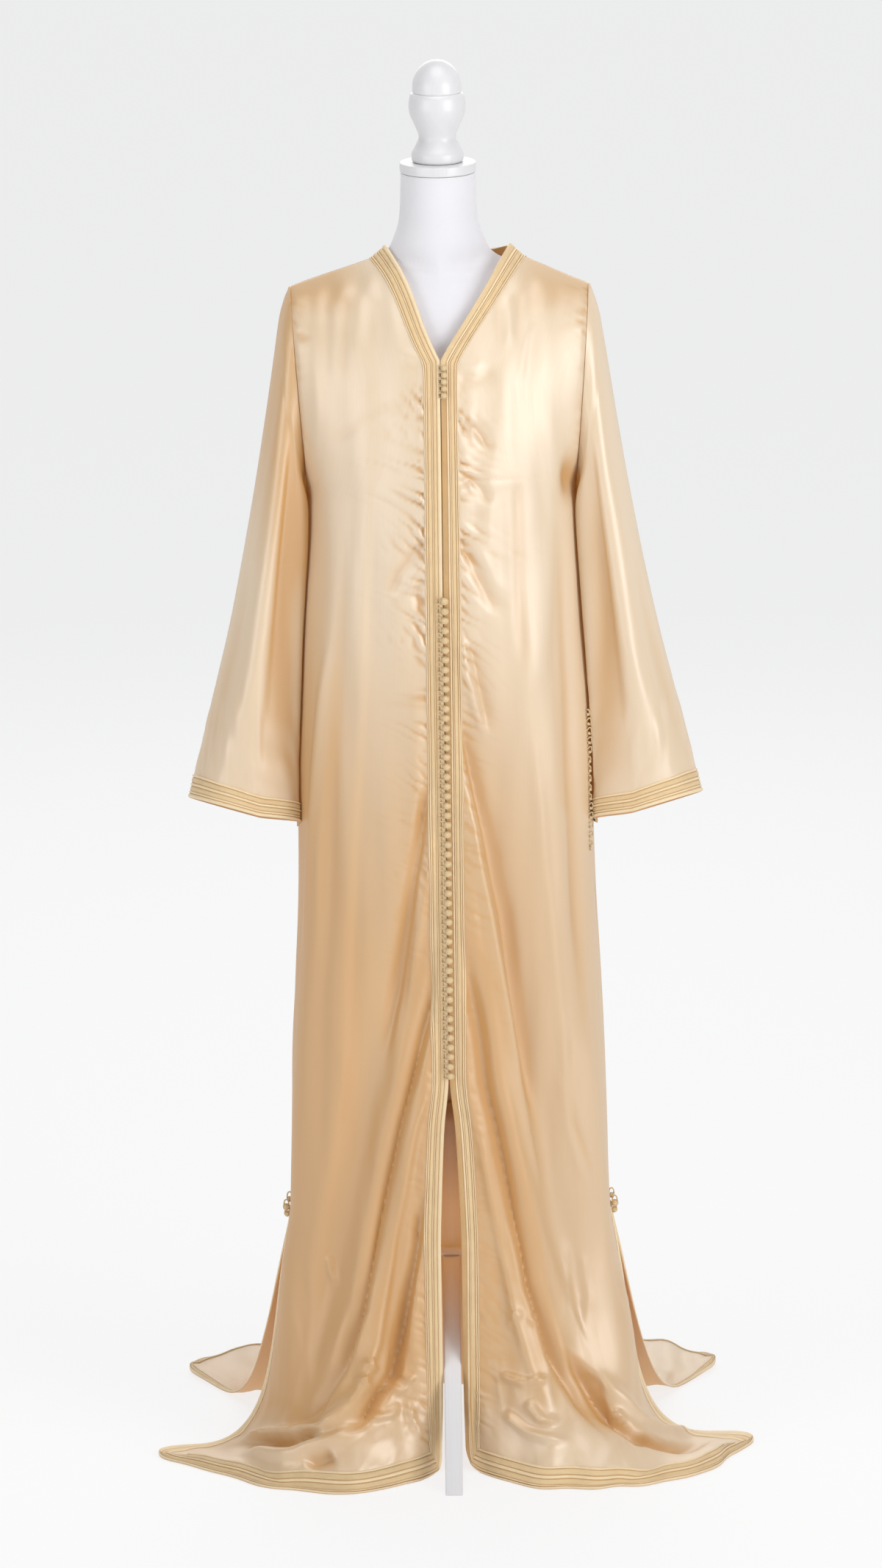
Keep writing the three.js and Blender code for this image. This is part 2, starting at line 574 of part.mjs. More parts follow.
const frontLeft = panelOf(shiftNeck(frontHalf(FOLDS_FRONT_LEFT, FLOOR_FRONT_LEFT)), -1);
const frontRight = panelOf(shiftNeck(mirrored(frontHalf(FOLDS_FRONT_RIGHT, FLOOR_FRONT_RIGHT))), -1);
const backLeftHalf = backHalf(1);
const backWhole = mirrored(backHalf(-1)).map((line, i) => [...line.slice(0, -1), ...backLeftHalf[i]]);
const back = panelOf(shiftNeck(backWhole), 1);
add("front_left", frontLeft.geometry, SATIN);
add("front_right", frontRight.geometry, SATIN);
add("back", back.geometry, SATIN);

// Braids: each front edge from the shoulder to the hem, both edges of each side slit, the hems,
// and the back of the neck.
const hemRow = frontLeft.grid.length - 2;
const slitRow = ROW_SIDES.length - 1;
const backCells = back.grid[0].length - 1;
const LENGTHWISE_BRAIDS = [
  ["edge_braid_left", frontLeft, 0, [0, 1]],
  ["edge_braid_right", frontRight, 0, [FRONT_CELLS - 1, FRONT_CELLS]],
  ["slit_braid_front_left", frontLeft, slitRow, [FRONT_CELLS - 1, FRONT_CELLS]],
  ["slit_braid_front_right", frontRight, slitRow, [0, 1]],
  ["slit_braid_back_left", back, slitRow, [backCells - 1, backCells]],
  ["slit_braid_back_right", back, slitRow, [0, 1]],
];
for (const [name, panel, row, cols] of LENGTHWISE_BRAIDS)
  add(name, braidOn(panel, [row, hemRow], cols, SEAM_GAP), BRAID);
for (const [name, panel] of [["left", frontLeft], ["right", frontRight], ["back", back]])
  add(`hem_braid_${name}`, braidOn(panel, [hemRow, hemRow + 1], [0, panel.grid[0].length - 1]), BRAID);
const neckColumns = [backCells / 2 - neckColumn - 1, backCells / 2 + neckColumn + 1];
add("neck_braid_back", braidOn(back, [0, 1], neckColumns), BRAID);

// ---------------------------------------------------------------- sleeves
const SLEEVE_SHARES = [0, 0.04, 0.11, 0.19, 0.29, 0.4, 0.52, 0.65, 0.77, 0.88, 0.945, 1];
const SLEEVE_SIDES = 2 * ARMHOLE.steps;

function sleevePoint(share, degrees, side) {
  const at = (column) => read(SLEEVE_RINGS, "share", column, share);
  const cos = Math.cos((degrees * Math.PI) / 180);
  const sin = Math.sin((degrees * Math.PI) / 180);
  const x = lerp(at("underX"), at("topX"), (cos + 1) / 2);
  const z = lerp(at("underZ"), at("topZ"), (cos + 1) / 2) + CUFF_DROP * smooth((share - 0.4) / 0.6) * sin;
  return new THREE.Vector3(side * x, -at("halfDepth") * sin, z);
}

function sleeveFold(share, degrees) {
  let sum = 0;
  for (const f of FOLDS_SLEEVE) {
    const t = clamp((share - f.start) / (f.end - f.start), 0, 1);
    const across = (degrees - lerp(f.from, f.to, t)) / f.wide;
    sum += f.out * Math.sin(Math.PI * t) ** 0.7 * Math.exp(-across * across);
  }
  return sum;
}

// The rings of a sleeve, folded, with the normals that point out of it. At the armhole they lie in
// the seam's plane, so that the sleeve's wall starts beside the body's.
function sleeveRings(side) {
  const degrees = Array.from({ length: SLEEVE_SIDES }, (_, k) => (k * 360) / SLEEVE_SIDES);
  const plain = SLEEVE_SHARES.map((share) => degrees.map((d) => sleevePoint(share, d, side)));
  const wrapped = plain.map((ring) => [ring[ring.length - 1], ...ring, ring[0]]);
  const normals = gridNormals(wrapped, side).map((line) => line.slice(1, -1));
  normals[0].forEach((n) => n.setX(0).normalize());
  const rings = plain.map((ring, i) =>
    ring.map((p, k) => p.clone().addScaledVector(normals[i][k], sleeveFold(SLEEVE_SHARES[i], degrees[k]))),
  );
  return { rings, normals };
}

for (const [name, side] of [["left", 1], ["right", -1]]) {
  const { rings, normals } = sleeveRings(side);
  add(`sleeve_${name}`, ringSolid(rings, movedBy(rings, normals, -CLOTH_WALL)), SATIN);
  const cuff = rings.slice(-2);
  const cuffNormals = normals.slice(-2);
  const over = movedBy(cuff, cuffNormals, SEAM_GAP + BRAID_WALL);
  add(`cuff_braid_${name}`, ringSolid(over, movedBy(cuff, cuffNormals, SEAM_GAP)), BRAID);
}

// ---------------------------------------------------------------- knotted buttons
// Knots in a row on their cord, as level rings that swell at each knot.
function knotRow(centres, radius) {
  const swell = [
    { up: 0.85, wide: 0.5 },
    { up: 0.35, wide: 1 },
    { up: -0.35, wide: 1 },
    { up: -0.85, wide: 0.5 },
  ];
  const rings = centres.flatMap((c) =>
    swell.map(({ up, wide }) =>
      Array.from({ length: BUTTON.sides }, (_, k) => {
        const a = ((k + 0.5) * 2 * Math.PI) / BUTTON.sides;
        return new THREE.Vector3(
          c.x + radius * wide * Math.cos(a),
          c.y + radius * wide * Math.sin(a),
          c.z + radius * up,
        );
      }),
    ),
  );
  return ringSolid(rings);
}

// A point on one column of a panel at a height, moved out of the dress by a distance.
function onColumn(panel, column, z, distance) {
  let i = 1;
  while (panel.grid[i][column].z > z) i += 1;
  const high = panel.grid[i - 1][column];
  const low = panel.grid[i][column];
  const t = (high.z - z) / (high.z - low.z);
  const normal = panel.normals[i - 1][column].clone().lerp(panel.normals[i][column], t).normalize();
  return high.clone().lerp(low, t).addScaledVector(normal, distance);
}
function beforeCentre(z, distance) {
  const p = onColumn(frontLeft, 0, z, distance);
  return new THREE.Vector3(0, p.y, p.z);
}

const braidFace = SEAM_GAP + BRAID_WALL;
const topButtons = Array.from({ length: BUTTON.topRow }, (_, k) =>
  beforeCentre(V_POINT_Z - 8 - k * BUTTON.topPitch, braidFace + SEAM_GAP + BUTTON.topRadius),
);
add("buttons_top", knotRow(topButtons, BUTTON.topRadius), KNOTS);

const BUTTON_ROWS = 5;
const perRow = BUTTON.row / BUTTON_ROWS;
for (let r = 0; r < BUTTON_ROWS; r += 1) {
  const centres = Array.from({ length: perRow }, (_, k) => {
    const fromSlit = BUTTON.row - 1 - r * perRow - k;
    return beforeCentre(
      FRONT_SLIT_Z + 5 + fromSlit * BUTTON.pitch,
      braidFace + SEAM_GAP + BUTTON.radius,
    );
  });
  add(`buttons_${r + 1}`, knotRow(centres, BUTTON.radius), KNOTS);
}

// The knots that close the top of each side slit.
const SLIT_KNOTS = [
  { out: 4.5, y: 0, z: FLARE_Z + 12 },
  { out: 9.5, y: -5, z: FLARE_Z + 3 },
  { out: 14, y: 3, z: FLARE_Z - 6 },
];
const slitX = read(SIDE_SEAM, "z", "x", FLARE_Z);
for (const [name, side] of [["left", 1], ["right", -1]]) {
  const cluster = SLIT_KNOTS.map((k) => new THREE.Vector3(side * (slitX + k.out), k.y, k.z));
  add(`slit_knots_${name}`, knotRow(cluster, BUTTON.radius), KNOTS);
}

// The fine row of knots at the hip, a braid's width in front of the left side seam.
const HIP_ROW = { top: 938, bottom: 760, knots: 15, radius: 3 };
const hipKnots = Array.from({ length: HIP_ROW.knots }, (_, k) => {
  const z = lerp(HIP_ROW.top, HIP_ROW.bottom, k / (HIP_ROW.knots - 1));
  return onColumn(frontLeft, FRONT_CELLS - 1, z, HIP_ROW.radius + SEAM_GAP);
});
add("hip_knots_left", knotRow(hipKnots, HIP_ROW.radius), KNOTS);

// ---------------------------------------------------------------- dress form and stand
const FORM_SIDES = 28;
const formRings = FORM_SECTIONS.map(({ z, wide, front, back: rear, round }) =>
  Array.from({ length: FORM_SIDES }, (_, k) => {
    const a = (k * 2 * Math.PI) / FORM_SIDES;
    const power = (value) => Math.sign(value) * Math.abs(value) ** (2 / round);
    const reach = Math.sin(a) < 0 ? front : rear;
    return new THREE.Vector3(wide * power(Math.cos(a)), reach * power(Math.sin(a)), z);
  }),
);
add("form_torso", ringSolid(formRings), JERSEY);

function turned(profile, sides, topZ) {
  const points = profile.map(({ radius, z }) => new THREE.Vector2(radius, z));
  const foot = new THREE.Vector2(0, points[0].y);
  const top = new THREE.Vector2(0, topZ ?? points[points.length - 1].y);
  return new THREE.LatheGeometry([foot, ...points, top], sides).rotateX(Math.PI / 2);
}
add("neck_disc", turned(NECK_DISC, 32), PAINTED);
add("finial", turned(FINIAL, 20, FINIAL_TOP), PAINTED);
add("hub", turned(HUB, 24), PAINTED);
add("post", turned(POST, 16), PAINTED);

// A leg: a square bar from under the hub to a foot that is cut flat on the floor.
function legGeometry(turn) {
  const half = LEG.halfWidth;
  const corners = [
    { x: -half, back: LEG.depth },
    { x: half, back: LEG.depth },
    { x: half, back: 0 },
    { x: -half, back: 0 },
  ];
  const upright = new THREE.Vector3(0, 0, 1);
  const ring = (far, z) =>
    corners.map(({ x, back: behind }) =>
      new THREE.Vector3(x, behind - far, z).applyAxisAngle(upright, turn),
    );
  return ringSolid([ring(LEG.reach, STAND.hubBottom - SEAM_GAP), ring(LEG.footReach, 0)]);
}
["leg_front", "leg_left", "leg_right"].forEach((name, k) =>
  add(name, legGeometry((k * 2 * Math.PI) / 3), PAINTED),
);

// The origin is on the floor, under the middle of the whole part's box.
const box = new THREE.Box3().setFromObject(part);
const middle = box.getCenter(new THREE.Vector3());
part.position.set(-middle.x, -middle.y, -box.min.z);

export default part;
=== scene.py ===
# %% [markdown]
# # The underpiece of a takchita on its dress form
# A takchita is a Moroccan dress in two layers. This is the plain layer that goes underneath: two
# satin fronts, a back with a train and two long sleeves, edged with sfifa, a flat braid of gold
# thread, and closed in front by aakad, small knotted buttons. It hangs on a limbless dress form
# that stands on three legs. The CAD model gives every size; this lesson gives the cloth, braid,
# knots, jersey and paint their looks. Lengths in the tables are in millimetres, as on a pattern.

# %% Load the frame
import math

import bpy
import numpy as np
from mathutils import Matrix, Vector


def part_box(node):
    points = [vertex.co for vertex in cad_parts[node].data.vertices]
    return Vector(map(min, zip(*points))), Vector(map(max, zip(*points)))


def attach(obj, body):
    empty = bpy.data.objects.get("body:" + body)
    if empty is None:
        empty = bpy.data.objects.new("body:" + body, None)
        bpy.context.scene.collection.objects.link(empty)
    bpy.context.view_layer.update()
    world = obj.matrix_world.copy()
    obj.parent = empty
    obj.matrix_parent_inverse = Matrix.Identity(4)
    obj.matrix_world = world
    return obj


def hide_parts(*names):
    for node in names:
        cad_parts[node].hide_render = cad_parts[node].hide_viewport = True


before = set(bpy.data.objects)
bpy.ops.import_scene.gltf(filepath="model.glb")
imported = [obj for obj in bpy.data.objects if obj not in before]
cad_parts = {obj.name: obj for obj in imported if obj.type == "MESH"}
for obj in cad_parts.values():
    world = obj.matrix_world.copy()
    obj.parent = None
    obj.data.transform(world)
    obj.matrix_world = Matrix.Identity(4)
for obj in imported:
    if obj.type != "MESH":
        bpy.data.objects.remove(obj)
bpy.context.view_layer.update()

MM = 0.001
finial_low, finial_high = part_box("finial")
AXIS = np.array([(finial_low.x + finial_high.x) / 2, (finial_low.y + finial_high.y) / 2, 0.0])

# %% [markdown]
# ## Camera
# A dress is best looked at from far off with a long lens, so that its hem and its shoulders keep
# the same scale. The camera stands 13 m away, a little above, and is turned by less than a degree.

# %% Camera
CAMERA = {"far": 13.0, "up": 13.5, "turn": -0.72, "lens": 243.8, "aim_z": 0.837, "aside": -0.0054}
aim = Vector((AXIS[0] + CAMERA["aside"], AXIS[1], CAMERA["aim_z"]))
up = math.radians(CAMERA["up"])
camera = bpy.data.objects.new("camera", bpy.data.cameras.new("camera"))
camera.data.lens = CAMERA["lens"]
camera.data.sensor_width = 36.0
camera.data.clip_end = 200.0
camera.location = aim + Vector((0, -math.cos(up), math.sin(up))) * CAMERA["far"]
look = (aim - camera.location).to_track_quat("-Z", "Y").to_matrix().to_4x4()
roll = Matrix.Rotation(math.radians(CAMERA["turn"]), 4, "Z")
camera.matrix_world = Matrix.Translation(camera.location) @ look @ roll
bpy.context.scene.collection.objects.link(camera)
bpy.context.scene.camera = camera
print("the camera stands at", [round(x, 3) for x in camera.location])

# %% [markdown]
# ## Curves through a table
# Every size of the dress is a row in a short table. A curve through the rows must not overshoot
# between them, or the cloth would bulge where the table says that it lies flat, so each slope is
# the harmonic mean of its two neighbours. This is the rule that the CAD model uses too.


# %% Curves through a table
def smooth(t):
    """From 0 to 1 as t goes from 0 to 1, starting and ending softly."""
    t = np.clip(t, 0.0, 1.0)
    return t * t * (3 - 2 * t)


def fade(value, start, end):
    """From 0 to 1 as a value goes from its start to its end, which may be the lower one."""
    return smooth((value - start) / (end - start))


def curve(keys, values):
    """A function that gives the value at any key between the first and the last."""
    keys, values = np.asarray(keys, float), np.asarray(values, float)
    if keys[0] > keys[-1]:
        keys, values = keys[::-1], values[::-1]
    rise = np.diff(values) / np.diff(keys)
    slope = np.concatenate([rise[:1], np.zeros(len(rise) - 1), rise[-1:]])
    same = rise[:-1] * rise[1:] > 0
    total = np.where(same, rise[:-1] + rise[1:], 1.0)
    slope[1:-1] = np.where(same, 2 * rise[:-1] * rise[1:] / total, 0.0)

    def at(x):
        x = np.clip(np.asarray(x, float), keys[0], keys[-1])
        i = np.clip(np.searchsorted(keys, x, side="right") - 1, 0, len(keys) - 2)
        step = keys[i + 1] - keys[i]
        t = (x - keys[i]) / step
        ends = values[i] + (values[i + 1] - values[i]) * t * t * (3 - 2 * t)
        return ends + step * (slope[i] * (t**3 - 2 * t**2 + t) + slope[i + 1] * (t**3 - t**2))

    return at


def columns(table, key, names):
    """One curve for each named column of a table of rows, along its key column."""
    at = [names.index(key)] + [k for k, n in enumerate(names) if n != key]
    rows = np.array(table, float)
    return {names[k]: curve(rows[:, at[0]], rows[:, k]) for k in at[1:]}


def mix(a, b, t):
    """a where t is 0, b where it is 1."""
    return a + (b - a) * t


# %% [markdown]
# ## The pattern's sizes
# The rows of a front run from the shoulder seam to where the side slits open; the floor tables
# say where each panel touches the floor and where its hem lies, as seen from above.

# %% The pattern's sizes
BRAID = 20.0
SHOULDER = {"neck": 75.0, "tip": 181.0}
NECK = {"stand": 9.0, "shift": 11.0, "v_point": 1387.0, "rise": 100.0, "drop": 28.0}
ARMHOLE = {"top_x": 181.0, "top_z": 1459.0, "low_x": 163.0, "low_z": 1213.0, "deep": 58.0}
FLARE = {"top": 300.0, "lean": 0.22, "fall": 0.42, "land": 0.24}
SLIT_TOP = 500.0
ROUND = 2.3  # the exponent of a section of the body: 2 is an ellipse, more is squarer
HALF_GAP = 0.15  # half the gap between a front and the back at a seam
CLOTH_TOP = 2.0  # how high the outer face of cloth lies when it rests on the floor

FRONT_ROWS = columns(
    [
        (1459, 1499, 75, 2), (1449.6, 1490, 63, 34), (1423, 1468, 47, 62), (1383, 1430, 25.5, 90),
        (1336, 1387, 1, 110), (1289, 1340, 1, 123), (1249, 1294, 1, 131), (1213, 1248, 1, 136),
        (1150, 1165, 1, 139), (1060, 1060, 1, 138), (905, 905, 1, 136), (705, 705, 1, 137),
        (500, 500, 1, 137), (440, 440, 7, 137), (370, 370, 10.4, 137), (300, 300, 13, 137),
    ],
    "side", ["side", "centre", "edge", "depth"],
)
BACK_ROWS = columns(
    [
        (1459, 1527, 0, 2), (1449.6, 1512, 0, 33), (1423, 1480, 0, 58), (1383, 1440, 0, 80),
        (1336, 1391, 0, 92), (1289, 1340, 0, 99), (1249, 1294, 0, 102), (1213, 1248, 0, 102),
        (1150, 1165, 0, 100), (1060, 1060, 0, 101), (905, 905, 0, 109), (705, 705, 0, 117),
        (500, 500, 0, 123), (300, 300, 0, 128),
    ],
    "side", ["side", "centre", "edge", "depth"],
)
side_seam = curve(
    [1213, 1180, 1075, 979, 880, 715, 604, 435, 300],
    [163, 163.5, 170, 176, 180, 181.5, 187, 194, 196],
)
# The neckline runs straight between its rows and turns sharply at the point of the V.
NECKLINE = ([1336, 1383, 1423, 1449.6, 1459], [1, 25.5, 47, 63, 75])
soft_edge = FRONT_ROWS["edge"]
FRONT_ROWS["edge"] = lambda side: np.where(
    side > NECKLINE[0][0], np.interp(side, *NECKLINE), soft_edge(side)
)
FLOOR_NAMES = ["share", "touch_x", "touch_y", "hem_x", "hem_y", "slope"]
FLOOR_RIGHT = columns(
    [
        (0, 16.5, -138, 16.5, -140, 84), (0.2, 52, -187, 52, -190, 66),
        (0.42, 125, -223, 126, -227, 52), (0.66, 204, -200, 209, -207, 40),
        (0.85, 258, -118, 290, -140, 24), (1, 286, -28, 363, -52, 12),
    ],
    "share", FLOOR_NAMES,
)
FLOOR_LEFT = columns(
    [
        (0, 16, -124, 16, -126, 84), (0.2, 60, -178, 60, -181, 66),
        (0.42, 126, -214, 127, -218, 52), (0.66, 214, -212, 220, -219, 40),
        (0.85, 270, -134, 302, -156, 24), (1, 290, -4, 369, -18, 12),
    ],
    "share", FLOOR_NAMES,
)
FLOOR_BACK = columns(
    [
        (0, 0, 226, 0, 440, 14), (0.3, 88, 224, 112, 432, 14), (0.6, 178, 222, 222, 408, 14),
        (0.85, 248, 200, 294, 352, 16), (1, 279, 196, 327, 316, 16),
    ],
    "share", FLOOR_NAMES,
)
# The largest folds: top and end heights, share across the panel there, half-width, height out.
FOLDS_RIGHT = [
    (760, 10, 0.14, 0.74, 0.13, -16), (640, 20, 0.12, 0.46, 0.11, 9),
    (430, 30, 0.2, 0.24, 0.09, -8), (1200, 40, 0.5, 0.92, 0.11, 6),
    (1350, 350, 0.36, 0.5, 0.12, -5),
]
FOLDS_LEFT = [
    (1010, 10, 0.14, 0.68, 0.12, -17), (900, 20, 0.12, 0.36, 0.1, 9),
    (1150, 40, 0.36, 0.9, 0.12, 8), (1330, 500, 0.62, 0.66, 0.11, -5),
]
FOLDS_BACK = [
    (1240, 20, -0.16, -0.3, 0.1, 10), (1180, 20, 0.2, 0.26, 0.11, 11),
    (900, 20, 0.02, -0.02, 0.08, -9), (1000, 30, -0.5, -0.62, 0.09, -8),
    (860, 30, 0.52, 0.64, 0.09, -9),
]
print("the shoulder seam is", SHOULDER["tip"] - SHOULDER["neck"], "mm wide on each side")

# %% [markdown]
# ## A panel as a fine grid
# A cut panel is one sheet, so it is one grid of points: rows run across it, columns run down it.
# Above the slits each row follows a rounded section of the body; below them each column swings
# out to the floor and lies on it. The grid is much finer than the CAD wall, and it is smoothed
# down its columns, because satin shows every kink in a surface as a line of light.

# %% A panel as a fine grid
ROW_SAMPLES, BEND_SAMPLES, FLOOR_SAMPLES = 65, 80, 30
# Columns at the edge braid, beside it, in the middle and at the slit braid; then rows down the
# armhole, the body, the flare and the hem.
FRONT_FINE = {"cols": (8, 19, 58, 6), "rows": (56, 272, 104, 8)}
BACK_FINE = {"cols": (6, 8, 41, 6), "rows": (44, 114, 84, 7)}


def armhole_at(z):
    """How far out and how far forward the edge of the armhole lies at a height."""
    half = (ARMHOLE["top_z"] - ARMHOLE["low_z"]) / 2
    cos = np.clip((z - ARMHOLE["low_z"] - half) / half, -1, 1)
    out = mix(ARMHOLE["low_x"], ARMHOLE["top_x"], (cos + 1) / 2)
    return out, ARMHOLE["deep"] * np.sqrt(1 - cos**2)


def section(rows, side, place, face):
    """Points on the body's sections, and how long each section is. side is the height of each
    point's row at the side of the body, and place gives the distance of each column along a
    section from its inner edge, when it is told how long the section is."""
    inner, depth, centre = rows["edge"](side), rows["depth"](side), rows["centre"](side)
    arm_x, arm_y = armhole_at(side)
    on_arm = side > ARMHOLE["low_z"]
    outer = np.where(on_arm, arm_x, side_seam(side))
    reach = np.minimum(np.where(on_arm, arm_y, 0.0), depth * 0.97)
    width = outer / (1 - (reach / depth) ** ROUND) ** (1 / ROUND)
    first = np.arcsin(np.clip((inner / width) ** (ROUND / 2), 0, 1))
    last = np.arcsin(np.clip((outer / width) ** (ROUND / 2), 0, 1))

    def point(angle, w, d):
        return w * np.sin(angle) ** (2 / ROUND), d * np.maximum(np.cos(angle), 0) ** (2 / ROUND)

    steps = np.linspace(0, 1, ROW_SAMPLES)
    angles = first[..., None] + (last - first)[..., None] * steps
    x, y = point(angles, width[..., None], depth[..., None])
    run = (x - inner[..., None]) / (outer - inner)[..., None]
    z = centre[..., None] + (side - centre)[..., None] * np.clip(run, 0, 1)
    parts = np.sqrt(np.diff(x) ** 2 + np.diff(y) ** 2 + np.diff(z) ** 2)
    lengths = np.concatenate([np.zeros(parts.shape[:-1] + (1,)), np.cumsum(parts, -1)], -1)
    total = lengths[..., -1]
    distance = place(total)
    k = np.clip((lengths[..., 1:] < distance[..., None]).sum(-1), 0, ROW_SAMPLES - 2)
    take = lambda a, j: np.take_along_axis(a, j[..., None], -1)[..., 0]
    low, high = take(lengths, k), take(lengths, k + 1)
    t = np.clip((distance - low) / np.maximum(high - low, 1e-9), 0, 1)
    angle = first + (last - first) * (k + t) / (ROW_SAMPLES - 1)
    px, py = point(angle, width, depth)
    pz = centre + (side - centre) * np.clip((px - inner) / (outer - inner), 0, 1)
    return np.stack([px, face * np.maximum(py, HALF_GAP), pz], -1), total


def flare(start, floor, share):
    """The way of each column from the top of the flare to the hem, as points and lengths."""
    touch = np.stack([floor["touch_x"](share), floor["touch_y"](share), share * 0 + CLOTH_TOP], -1)
    hem = np.stack([floor["hem_x"](share), floor["hem_y"](share), share * 0 + CLOTH_TOP], -1)
    away = (hem - start) * [1, 1, 0]
    away /= np.linalg.norm(away, axis=-1, keepdims=True)
    slope = np.radians(floor["slope"](share))[:, None]
    way = np.linalg.norm(touch - start, axis=-1, keepdims=True)
    fall, land = FLARE["fall"] * way, FLARE["land"] * way
    lean = FLARE["lean"] * share[:, None] ** 2 * fall
    falling = start + np.concatenate([lean, 0 * fall, -fall], -1)
    up_z = np.array([0.0, 0.0, 1.0])
    landing = touch - away * land * np.cos(slope) + up_z * land * np.sin(slope)
    t = np.linspace(0, 1, BEND_SAMPLES)[None, :, None]
    bend = (
        start[:, None] * (1 - t) ** 3 + 3 * falling[:, None] * (1 - t) ** 2 * t
        + 3 * landing[:, None] * (1 - t) * t**2 + touch[:, None] * t**3
    )
    on_floor = np.linspace(0, 1, FLOOR_SAMPLES + 1)[None, 1:, None]
    flat = touch[:, None] + (hem - touch)[:, None] * on_floor
    points = np.concatenate([bend, flat], 1)
    parts = np.linalg.norm(np.diff(points, axis=1), axis=-1)
    return points, np.concatenate([np.zeros((len(share), 1)), np.cumsum(parts, 1)], 1)


print("a front has", sum(FRONT_FINE["rows"]), "rows of", sum(FRONT_FINE["cols"]), "faces")


# %% Normals, smoothing and the largest folds
FOLD_FADE = {"edge": 0.09, "top": 160, "end": 90}  # over what share and height a fold comes in


def normals_of(grid, outward):
    """The normal at each point of a grid; outward, 1 or -1, turns them out of the dress."""
    down = np.gradient(grid, axis=0)
    across = np.gradient(grid, axis=1)
    n = np.cross(across, down) * outward
    return n / np.maximum(np.linalg.norm(n, axis=-1, keepdims=True), 1e-12)


def eased(grid, passes, keep):
    """The grid smoothed down its columns; keep is 1 where a point has to stay."""
    out = grid.copy()
    for _ in range(passes):
        inner = (out[:-2] + 2 * out[1:-1] + out[2:]) / 4
        out[1:-1] += (inner - out[1:-1]) * (1 - keep[1:-1, :, None])
    return out


def big_folds(folds, share, z, inner_edge):
    """How far the largest folds stand out at each point. None reaches a sewn or braided edge."""
    edges = smooth((1 - np.abs(share)) / FOLD_FADE["edge"])
    if inner_edge:
        edges = edges * smooth(share / FOLD_FADE["edge"])
    total = np.zeros_like(z)
    for top, end, start, finish, wide, out in folds:
        t = np.clip((top - z) / (top - end), 0, 1)
        across = (share - mix(start, finish, t)) / wide
        come_in = smooth((top - z) / FOLD_FADE["top"]) * smooth((z - end) / FOLD_FADE["end"])
        total += out * come_in * np.exp(-across * across)
    return total * edges


print(len(FOLDS_RIGHT + FOLDS_LEFT + FOLDS_BACK), "large folds in the three panels")


# %% Rows and columns of a panel
GATHERED = 0.2  # the share of a front that the columns beside its braid cover
NECK_COLUMNS = 0.45  # the share of the back's columns that begin at the neckline
EASING = 26  # how many times a panel is smoothed down its columns


def front_layout(fine):
    """Where the columns of a front lie along a row: they are close together at the braid and
    beside it, where the puckers are."""
    c, marks = np.arange(sum(fine["cols"]) + 1), np.cumsum([0, *fine["cols"]])

    def place(total):
        gather = BRAID + GATHERED * (total - 2 * BRAID)
        stops = [0 * total, 0 * total + BRAID, gather, total - BRAID, total]
        out = np.zeros_like(total)
        for k in range(4):
            inside = (c >= marks[k]) & (c <= marks[k + 1])
            f = (c - marks[k]) / (marks[k + 1] - marks[k])
            out = np.where(inside[None, :], mix(stops[k], stops[k + 1], f[None, :]), out)
        return out

    return place


def back_layout(fine, t, heights):
    """The height of each point's row at the side of the back, and where its columns lie. The
    first rows dip in the middle, because the neckline is cut out of them, and are drawn together
    at the neck point. t runs from 0 at the shoulder to 1 at the underarm."""
    c, marks = np.arange(sum(fine["cols"]) + 1), np.cumsum([0, *fine["cols"]])
    neck_share = SHOULDER["neck"] / SHOULDER["tip"]
    neck_cols = int(NECK_COLUMNS * c[-1])
    top_share = np.where(
        c <= neck_cols, neck_share * c / neck_cols,
        mix(neck_share, 1, (c - neck_cols) / (c[-1] - neck_cols)),
    )
    x = np.minimum(top_share / neck_share, 1)
    top = ARMHOLE["top_z"] - NECK["drop"] * (1 - x * x) ** 0.75
    near = 0.45 * np.exp(-(((top_share - neck_share) / 0.13) ** 2))
    first_rows = np.exp(-((t[:, None] - 0.038) / 0.03) ** 2)
    drawn = t[:, None] * (1 - near * first_rows)
    dipped = mix(top[None, :], ARMHOLE["low_z"], drawn)
    side = np.where(t[:, None] < 1, dipped, heights[:, None])
    spread = smooth(np.arange(len(heights)) / (fine["rows"][0] * 1.1))[:, None]

    def place(total):
        even = np.where(
            c <= marks[3], (1 - BRAID / total) * c / marks[3],
            1 - BRAID / total * (1 - (c - marks[3]) / fine["cols"][3]),
        )
        return mix(top_share[None, :], even, spread) * total

    return side, place


def flared(last_row, floor, share, fine):
    """The rows below the slits, down to the floor and along it to the hem and its braid."""
    lower_rows, hem_rows = fine["rows"][2:]
    way, lengths = flare(last_row, floor, share)
    whole = lengths[:, -1:]
    plain = (whole - BRAID) * np.arange(1, lower_rows + 1) / lower_rows
    hem = whole - BRAID + BRAID * np.arange(1, hem_rows + 1) / hem_rows
    stops = np.concatenate([plain, hem], 1)
    return np.stack([
        np.stack([np.interp(s, l, w[:, a]) for a in range(3)], -1)
        for s, l, w in zip(stops, lengths, way)
    ], 1)


